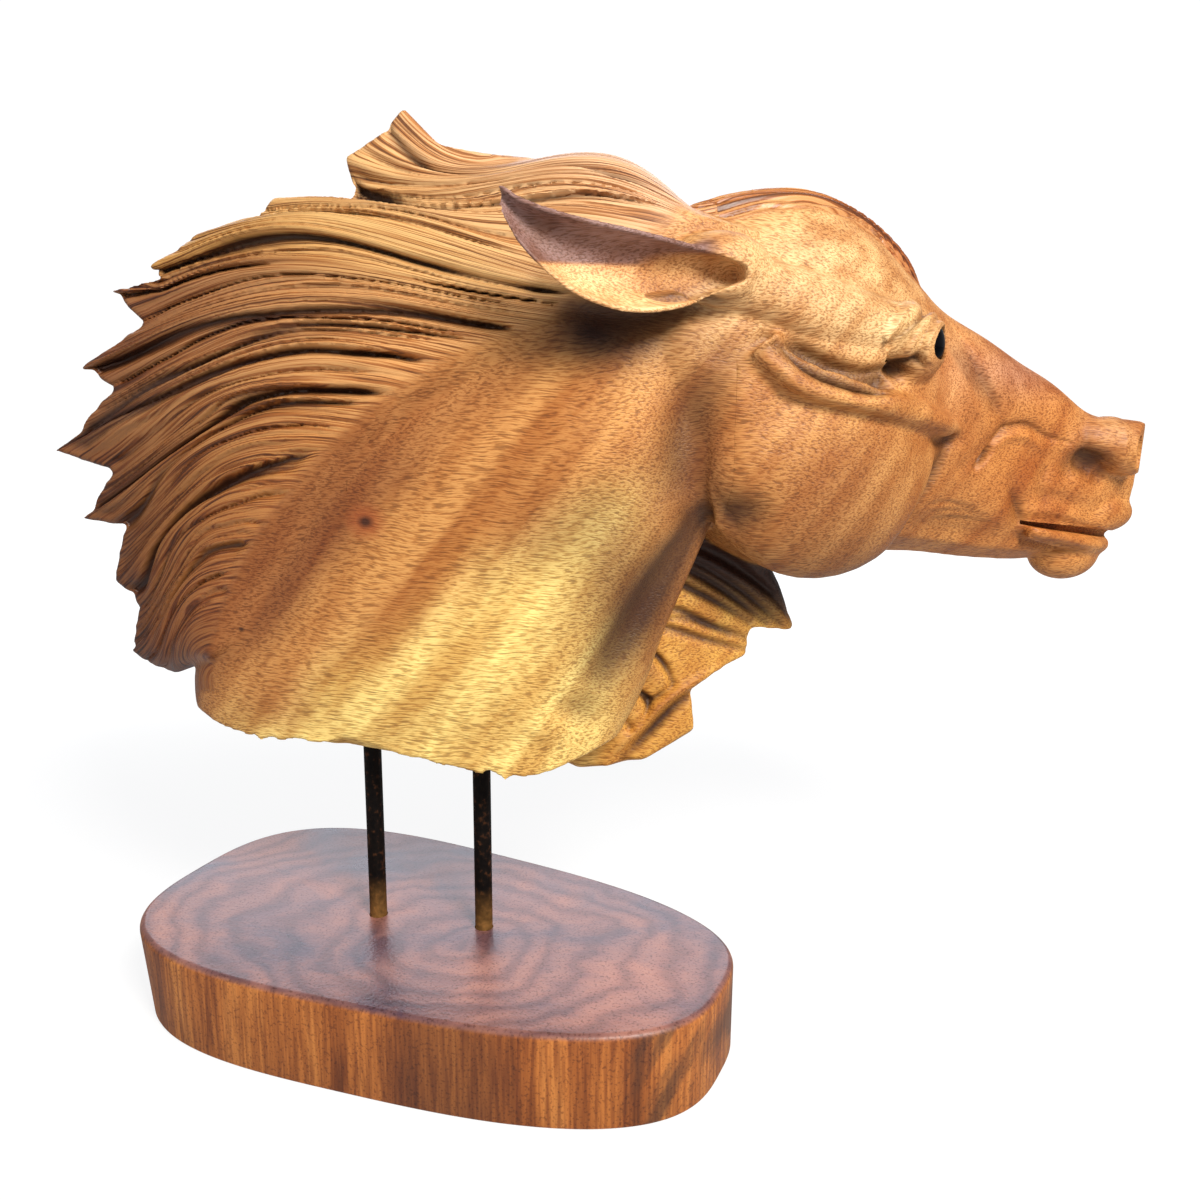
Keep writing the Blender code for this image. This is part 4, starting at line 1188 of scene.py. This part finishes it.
MANE_TONES = (
    ("#DCB492", "#D8AA78"), ("#DAB086", "#D6A870"), ("#DCAE7A", "#DCAE70"), ("#E0B478", "#E8BC78"),
    ("#E4B87C", "#C89450"), ("#DCA86C", "#94623A"), ("#DCA468", "#8A5834"), ("#D49C60", "#80502C"),
    ("#C4884C", "#784A28"), ("#B47840", "#704424"), ("#A46838", "#6C3E20"), ("#945C2C", "#683A1E"),
)
FORELOCK_TONE = "#A8683A"
# The tuft's upper edge, which its tones keep below: places along, heights
TUFT_EDGE = ((90, 128, 150, 161, 169), (110, 112, 98, 78, 58))
# Painted shade, near-black, on the top of the tuft under the jaw.
PAINTED_SHADE_ON_TUFT = "#3A2016"
TUFT_LOW = "#E2B058"
# Painted shade on the upper inner wall of each ear's cup, and painted light on its lower inner wall.
PAINTED_SHADE_IN_EAR = "#927470"
PAINTED_LIGHT_IN_EAR = "#F6C890"
# Painted shade in the cuts, near-black brown.
PAINTED_SHADE_IN_CUTS = "#2E170E"


def blended(base, colour, share):
    return base + (np.array(linear(colour)) - base) * share[:, None]


def tones_with_painted_light(points, normals, place, share, held):
    """Colour of the wood at each point, before its grain, with painted shade and light laid in places."""
    along, aside, up = points.T
    tone = np.tile(linear(NECK_TONE), (len(points), 1))
    drift = 9 * soft_noise(points[:, [0, 2]] / 28.0, 51)
    from_hairline = along - up * 1.02 + 138 + drift
    tone = blended(tone, REAR_HEARTWOOD, rises(from_hairline, 34, 4) * rises(up, 190, 150))
    below_line = 0.58 * (along + 93) - 0.81 * (up - 13) + drift
    tone = blended(tone, SAPWOOD, rises(below_line, -6, 30) * rises(along, 108, 74))
    for colour, zone_along, zone_up, reach_along, reach_up, most in ZONES:
        far = ((along + drift * 0.5 - zone_along) / reach_along) ** 2
        far += ((up + drift * 0.4 - zone_up) / reach_up) ** 2
        tone = blended(tone, colour, most * np.exp(-far) * (along > zone_along - 1.6 * reach_along))
    hair = rises(held, 0.6, 1.0) * rises(share, 0.0, 0.06) * off_ears(points)
    roots = np.array([linear(root) for root, _ in MANE_TONES])
    tips = np.array([linear(tip) for _, tip in MANE_TONES])
    wander = place + 0.25 * soft_noise(np.stack([place * 2.0, share * 2.5], 1), 52)
    rows = [np.interp(wander, np.arange(len(roots)), roots[:, k]) for k in range(3)]
    ends = [np.interp(wander, np.arange(len(tips)), tips[:, k]) for k in range(3)]
    mane = np.stack(rows, 1) * (1 - share[:, None]) + np.stack(ends, 1) * share[:, None]
    tone = tone + (mane - tone) * hair[:, None]
    lock = forelock_share(points, normals)
    tone = blended(tone, FORELOCK_TONE, lock * (0.45 + 0.45 * rises(along, 150, 200)))
    on_tuft = rises(aside, 0, 3) * rises(aside, TUFT_FAR_SIDE + 3, TUFT_FAR_SIDE + 1)
    on_tuft *= rises(along, 66, 84) * rises(up - np.interp(along, *TUFT_EDGE), 4, 0)
    tone = blended(tone, TUFT_LOW, on_tuft * rises(along + up, 250, 215))
    # Painted shade on the tuft's top, where it lies under the jaw.
    tone = blended(tone, PAINTED_SHADE_ON_TUFT, on_tuft * rises(along * 0.4 + up, 118, 140) * (along > 84))
    # Inside each ear's cup: painted light on the lower wall, which faces up, and painted shade on the upper
    # wall, which faces down.
    in_ear = rises(abs(aside), 38, 42) * rises(along, 114, 108)
    in_ear *= rises(normals[:, 1] * np.sign(aside), -0.2, 0.1)
    tone = blended(tone, PAINTED_LIGHT_IN_EAR, in_ear * rises(up, 209.5, 208.5) * rises(up, 190, 194))
    return blended(tone, PAINTED_SHADE_IN_EAR, in_ear * rises(up, 208.5, 210.5))


for part in head_parts:
    points, normals = read_points(part.data)
    place, share, held = hair_places(points[:, [0, 2]])
    tone = tones_with_painted_light(points, normals, place, share, held)
    write_attribute(part.data, "wood_and_painted_light", "FLOAT_COLOR", np.column_stack([tone, np.ones(len(tone))]))
    hair = rises(held, 0.6, 1.0) * rises(share, 0.0, 0.05) * off_ears(points)
    run = np.stack([crest_place(points, place, share), share, abs(points[:, 1]) * 0.02], 1)
    write_attribute(part.data, "hair_run", "FLOAT_VECTOR", run)
    write_attribute(part.data, "hair_share", "FLOAT", np.maximum(hair, forelock_share(points, normals)))
    write_points(part.data, turned(points))
    deselect_all()
    part.select_set(True)
    bpy.context.view_layer.objects.active = part
    bpy.ops.object.shade_smooth_by_angle(angle=math.radians(75))

# Oiled suar, sanded: warm brown with short dark pore lines that run along the block, slanted bands
# of growth, and painted shade, deep brown, in the cuts. The hair is glossier, because the gouge burnishes
# it.
# The pore lines are drawn wider than real ones, which would be too fine to show.
PORE_LENGTH = 0.0065
PORE_WIDTH = 0.0006
BAND_LENGTH = 0.13
BAND_WIDTH = 0.012
BAND_SLANT = math.radians(-52)
carved_wood, tree, surface = new_material("oiled carved suar")
place_out = add_node(tree, "ShaderNodeTexCoord").outputs["Object"]
base_tone = add_node(tree, "ShaderNodeAttribute", attribute_name="wood_and_painted_light").outputs["Color"]
cut_depth = add_node(tree, "ShaderNodeAttribute", attribute_name="in_cut").outputs["Fac"]
hair_mask = add_node(tree, "ShaderNodeAttribute", attribute_name="hair_share").outputs["Fac"]
hair_run = add_node(tree, "ShaderNodeAttribute", attribute_name="hair_run").outputs["Vector"]
waver = add_node(tree, "ShaderNodeTexNoise", {"Vector": place_out, "Scale": 22.0, "Detail": 2.0})
wavy = add_node(
    tree,
    "ShaderNodeVectorMath",
    {0: waver.outputs["Color"], 1: (0.004, 0.004, 0.010), 2: place_out},
    operation="MULTIPLY_ADD",
)
grain_place = add_node(
    tree, "ShaderNodeMapping", {0: wavy.outputs[0], 3: (1 / PORE_LENGTH, 1 / PORE_WIDTH, 1 / PORE_WIDTH)}
)
pore_lines = add_node(
    tree,
    "ShaderNodeTexNoise",
    {"Vector": grain_place.outputs[0], "Scale": 1.0, "Detail": 2.0, "Roughness": 0.55},
)
pore_tone = add_node(
    tree,
    "ShaderNodeValToRGB",
    {0: pore_lines.outputs["Fac"]},
    stops=((0.34, "#7A5636"), (0.54, "#FFFFFF"), (0.45, "#CCAE8A")),
)
band_place = add_node(
    tree,
    "ShaderNodeMapping",
    {0: wavy.outputs[0], 2: (0, BAND_SLANT, 0), 3: (BAND_LENGTH, BAND_WIDTH, BAND_WIDTH)},
    vector_type="TEXTURE",
)
bands = add_node(
    tree, "ShaderNodeTexNoise", {"Vector": band_place.outputs[0], "Scale": 1.0, "Detail": 4.0}
)
band_tone = add_node(
    tree, "ShaderNodeValToRGB", {0: bands.outputs["Fac"]}, stops=((0.36, "#CCAC8C"), (0.62, "#FFFFFF"))
)
# Strands of the hair: their colour varies along them, and their narrow dark lines are painted shade of
# grooves too fine for the mesh.
strand_place = add_node(tree, "ShaderNodeMapping", {0: hair_run, 3: (30.0, 1.3, 4.0)})
strands = add_node(
    tree,
    "ShaderNodeTexNoise",
    {"Vector": strand_place.outputs[0], "Scale": 1.0, "Detail": 2.5, "Roughness": 0.6},
)
strand_colour_and_shade = add_node(
    tree,
    "ShaderNodeValToRGB",
    {0: strands.outputs["Fac"]},
    stops=((0.36, "#5E3626"), (0.54, "#FFFFFF"), (0.46, "#C8A27C")),
)
skin_tone = add_node(
    tree,
    "ShaderNodeMix",
    {0: 0.66, 6: base_tone, 7: pore_tone.outputs[0]},
    data_type="RGBA",
    blend_type="MULTIPLY",
)
skin_banded = add_node(
    tree,
    "ShaderNodeMix",
    {0: 0.8, 6: skin_tone.outputs[2], 7: band_tone.outputs[0]},
    data_type="RGBA",
    blend_type="MULTIPLY",
)
hair_tone = add_node(
    tree,
    "ShaderNodeMix",
    {0: 0.9, 6: base_tone, 7: strand_colour_and_shade.outputs[0]},
    data_type="RGBA",
    blend_type="MULTIPLY",
)
either = add_node(
    tree,
    "ShaderNodeMix",
    {0: hair_mask, 6: skin_banded.outputs[2], 7: hair_tone.outputs[2]},
    data_type="RGBA",
)
# Knots on the near side of the neck: place, reach, tone, and how far it takes over
KNOTS = (
    ((-0.013, -0.034, 0.2335), (0.011, 0.03, 0.009), "#9A4A22", 0.7),
    ((-0.013, -0.034, 0.2335), (0.0048, 0.03, 0.0034), "#2E140C", 0.9),
    ((-0.074, -0.034, 0.1835), (0.0017, 0.03, 0.0015), "#2A120A", 0.9),
)
knotted = either.outputs[2]
for centre, reach, colour, most in KNOTS:
    spot = add_node(
        tree, "ShaderNodeMapping", {0: place_out, 1: centre, 3: reach}, vector_type="TEXTURE"
    )
    far = add_node(tree, "ShaderNodeVectorMath", {0: spot.outputs[0]}, operation="LENGTH")
    taken = add_node(
        tree, "ShaderNodeMapRange", {0: far.outputs["Value"], 1: 1.0, 2: 0.3, 3: 0.0, 4: most}
    )
    knot = add_node(
        tree,
        "ShaderNodeMix",
        {0: taken.outputs[0], 6: knotted, 7: (*linear(colour), 1)},
        data_type="RGBA",
    )
    knotted = knot.outputs[2]
# Painted shade: the deeper a point lies in a cut, the nearer its colour goes to near-black brown.
cut_shade_share = add_node(tree, "ShaderNodeMapRange", {0: cut_depth, 1: 0.06, 2: 0.70, 3: 0.0, 4: 0.93})
head_colour = add_node(
    tree,
    "ShaderNodeMix",
    {0: cut_shade_share.outputs[0], 6: knotted, 7: (*linear(PAINTED_SHADE_IN_CUTS), 1)},
    data_type="RGBA",
)
tree.links.new(head_colour.outputs[2], surface.inputs["Base Color"])
gloss = add_node(tree, "ShaderNodeMapRange", {0: hair_mask, 3: 0.48, 4: 0.38})
tree.links.new(gloss.outputs[0], surface.inputs["Roughness"])
fine_place = add_node(tree, "ShaderNodeMapping", {0: hair_run, 3: (62.0, 2.2, 8.0)})
fine_hair = add_node(
    tree, "ShaderNodeTexNoise", {"Vector": fine_place.outputs[0], "Scale": 1.0, "Detail": 2.0}
)
height_mix = add_node(
    tree,
    "ShaderNodeMix",
    {0: hair_mask, 2: pore_lines.outputs["Fac"], 3: fine_hair.outputs["Fac"]},
    data_type="FLOAT",
)
relief = add_node(
    tree, "ShaderNodeBump", {"Strength": 0.55, "Distance": 0.0007, "Height": height_mix.outputs[0]}
)
tree.links.new(relief.outputs[0], surface.inputs["Normal"])
surface.inputs["IOR"].default_value = 1.47
surface.inputs["Specular IOR Level"].default_value = 0.35
for name, part in zip(HEAD_PIECES, head_parts):
    finish_piece(part, "carved_head_" + name, carved_wood, "horse_head")


# Eyes
# Two black glass beads with a low dome, pressed into their sockets behind the carved lids.
# They are polished, so each carries one sharp highlight.
black_glass, tree, surface = new_material("black glass bead")
place = add_node(tree, "ShaderNodeTexCoord").outputs["Object"]
depths = add_node(tree, "ShaderNodeTexNoise", {"Vector": place, "Scale": 180.0, "Detail": 1.0})
glass_tone = add_node(
    tree, "ShaderNodeValToRGB", {0: depths.outputs["Fac"]}, stops=((0.35, "#020203"), (0.7, "#08070A"))
)
tree.links.new(glass_tone.outputs[0], surface.inputs["Base Color"])
surface.inputs["Roughness"].default_value = 0.05
surface.inputs["IOR"].default_value = 1.12

for name, side in (("left", 1), ("right", -1)):
    deselect_all()
    bpy.ops.mesh.primitive_uv_sphere_add(segments=64, ring_count=32, radius=1.0)
    eye = bpy.context.active_object
    bpy.ops.object.mode_set(mode="EDIT")
    bpy.ops.mesh.select_all(action="SELECT")
    bpy.ops.mesh.bisect(plane_co=(0, 0, 0), plane_no=(0, 0, 1), clear_inner=True)
    bpy.ops.mesh.extrude_region_move(TRANSFORM_OT_translate={"value": (0, 0, -1)})
    bpy.ops.mesh.edge_face_add()
    bpy.ops.object.mode_set(mode="OBJECT")
    for point in eye.data.vertices:
        point.co.z *= EYE_DOME if point.co.z > 0 else EYE_DEPTH
        point.co.x *= EYE_RADIUS
        point.co.y *= EYE_RADIUS
    middle, _, _, look = eye_axes(side)
    pose = Matrix.Translation(Vector(middle)) @ Vector(look).to_track_quat("Z", "Y").to_matrix().to_4x4()
    eye.data.transform(pose)
    write_points(eye.data, turned(read_points(eye.data)[0]))
    bpy.ops.object.shade_smooth_by_angle(angle=math.radians(40))
    finish_piece(eye, "bead_eye_" + name, black_glass, "eye_" + name)


# Floor, lights and camera
# A plain pale floor that runs out to white, a large soft lamp over the viewer's right shoulder,
# a weak fill from the left, and a cool lamp behind that lays a sheen on the plinth. The floor throws
# light back as pale card does, but the camera sees it nearly free of shadow.
FLOOR_SEEN = 0.16
FLOOR_BOUNCE = 0.5
AMBIENT_STRENGTH = 0.30
BACKDROP_STRENGTH = 1.05

deselect_all()
bpy.ops.mesh.primitive_circle_add(vertices=96, radius=14.0, fill_type="NGON")
floor = bpy.context.active_object
floor.name = "floor"
pale_floor, tree, surface = new_material("pale floor")
surface.inputs["Roughness"].default_value = 0.9
surface.inputs["Specular IOR Level"].default_value = 0.0
surface.inputs["Emission Color"].default_value = (1, 1, 1, 1)
seen = add_node(tree, "ShaderNodeLightPath").outputs["Is Camera Ray"]
spot = add_node(tree, "ShaderNodeTexCoord").outputs["Object"]
away = add_node(tree, "ShaderNodeVectorMath", {0: spot}, operation="LENGTH").outputs["Value"]
paleness = add_node(tree, "ShaderNodeMapRange", {0: seen, 3: FLOOR_BOUNCE, 4: FLOOR_SEEN})
tree.links.new(paleness.outputs[0], surface.inputs["Base Color"])
rising = add_node(
    tree,
    "ShaderNodeMapRange",
    {0: away, 1: 0.3, 2: 0.9, 3: 1 - FLOOR_SEEN, 4: 1.0},
    interpolation_type="SMOOTHSTEP",
)
glow = add_node(tree, "ShaderNodeMath", {0: seen, 1: rising.outputs[0]}, operation="MULTIPLY")
tree.links.new(glow.outputs[0], surface.inputs["Emission Strength"])
floor.data.materials.append(pale_floor)
floor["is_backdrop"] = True

world = bpy.data.worlds.new("studio")
bpy.context.scene.world = world
world.use_nodes = True
tree = world.node_tree
soft = tree.nodes["Background"]
soft.inputs[0].default_value = (1, 1, 1, 1)
soft.inputs[1].default_value = AMBIENT_STRENGTH
white = add_node(tree, "ShaderNodeBackground", {0: (1, 1, 1, 1), 1: BACKDROP_STRENGTH})
seen = add_node(tree, "ShaderNodeLightPath").outputs["Is Camera Ray"]
both = add_node(tree, "ShaderNodeMixShader", {0: seen, 1: soft.outputs[0], 2: white.outputs[0]})
tree.links.new(both.outputs[0], tree.nodes["World Output"].inputs[0])

LAMP_AIM = (0.03, 0.02, 0.2)
for name, place, size, height, power, colour in (
    ("key", (0.75, -0.80, 1.10), 0.42, 0.42, 30.0, (1.0, 0.96, 0.90)),
    ("fill", (-1.1, -0.9, 0.7), 1.0, 1.0, 3.0, (1.0, 0.98, 0.96)),
    ("sheen", (-0.4, 1.5, 0.95), 2.0, 1.2, 21.0, (0.80, 0.87, 1.0)),
):
    lamp = bpy.data.lights.new(name, "AREA")
    lamp.shape = "RECTANGLE"
    lamp.size = size
    lamp.size_y = height
    lamp.energy = power
    lamp.color = colour
    holder = bpy.data.objects.new(name, lamp)
    bpy.context.scene.collection.objects.link(holder)
    aim = Vector(LAMP_AIM) - Vector(place)
    holder.matrix_world = Matrix.Translation(place) @ aim.to_track_quat("-Z", "Y").to_matrix().to_4x4()

CAMERA_PLACE = (0.1827, -0.4675, 0.3092)
CAMERA_AZIMUTH = math.radians(12.67)
CAMERA_TILT = math.radians(12.93)
CAMERA_ROLL = math.radians(0.46)
lens = bpy.data.cameras.new("camera")
lens.lens = 35.0
lens.sensor_width = 36.0
camera = bpy.data.objects.new("camera", lens)
bpy.context.scene.collection.objects.link(camera)
level = math.cos(CAMERA_TILT)
ahead = Vector(
    (-math.sin(CAMERA_AZIMUTH) * level, math.cos(CAMERA_AZIMUTH) * level, -math.sin(CAMERA_TILT))
)
aimed = ahead.to_track_quat("-Z", "Y").to_matrix().to_4x4()
camera.matrix_world = Matrix.Translation(CAMERA_PLACE) @ aimed @ Matrix.Rotation(CAMERA_ROLL, 4, "Z")
bpy.context.scene.camera = camera
bpy.context.scene.view_settings.view_transform = "Standard"

low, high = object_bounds()
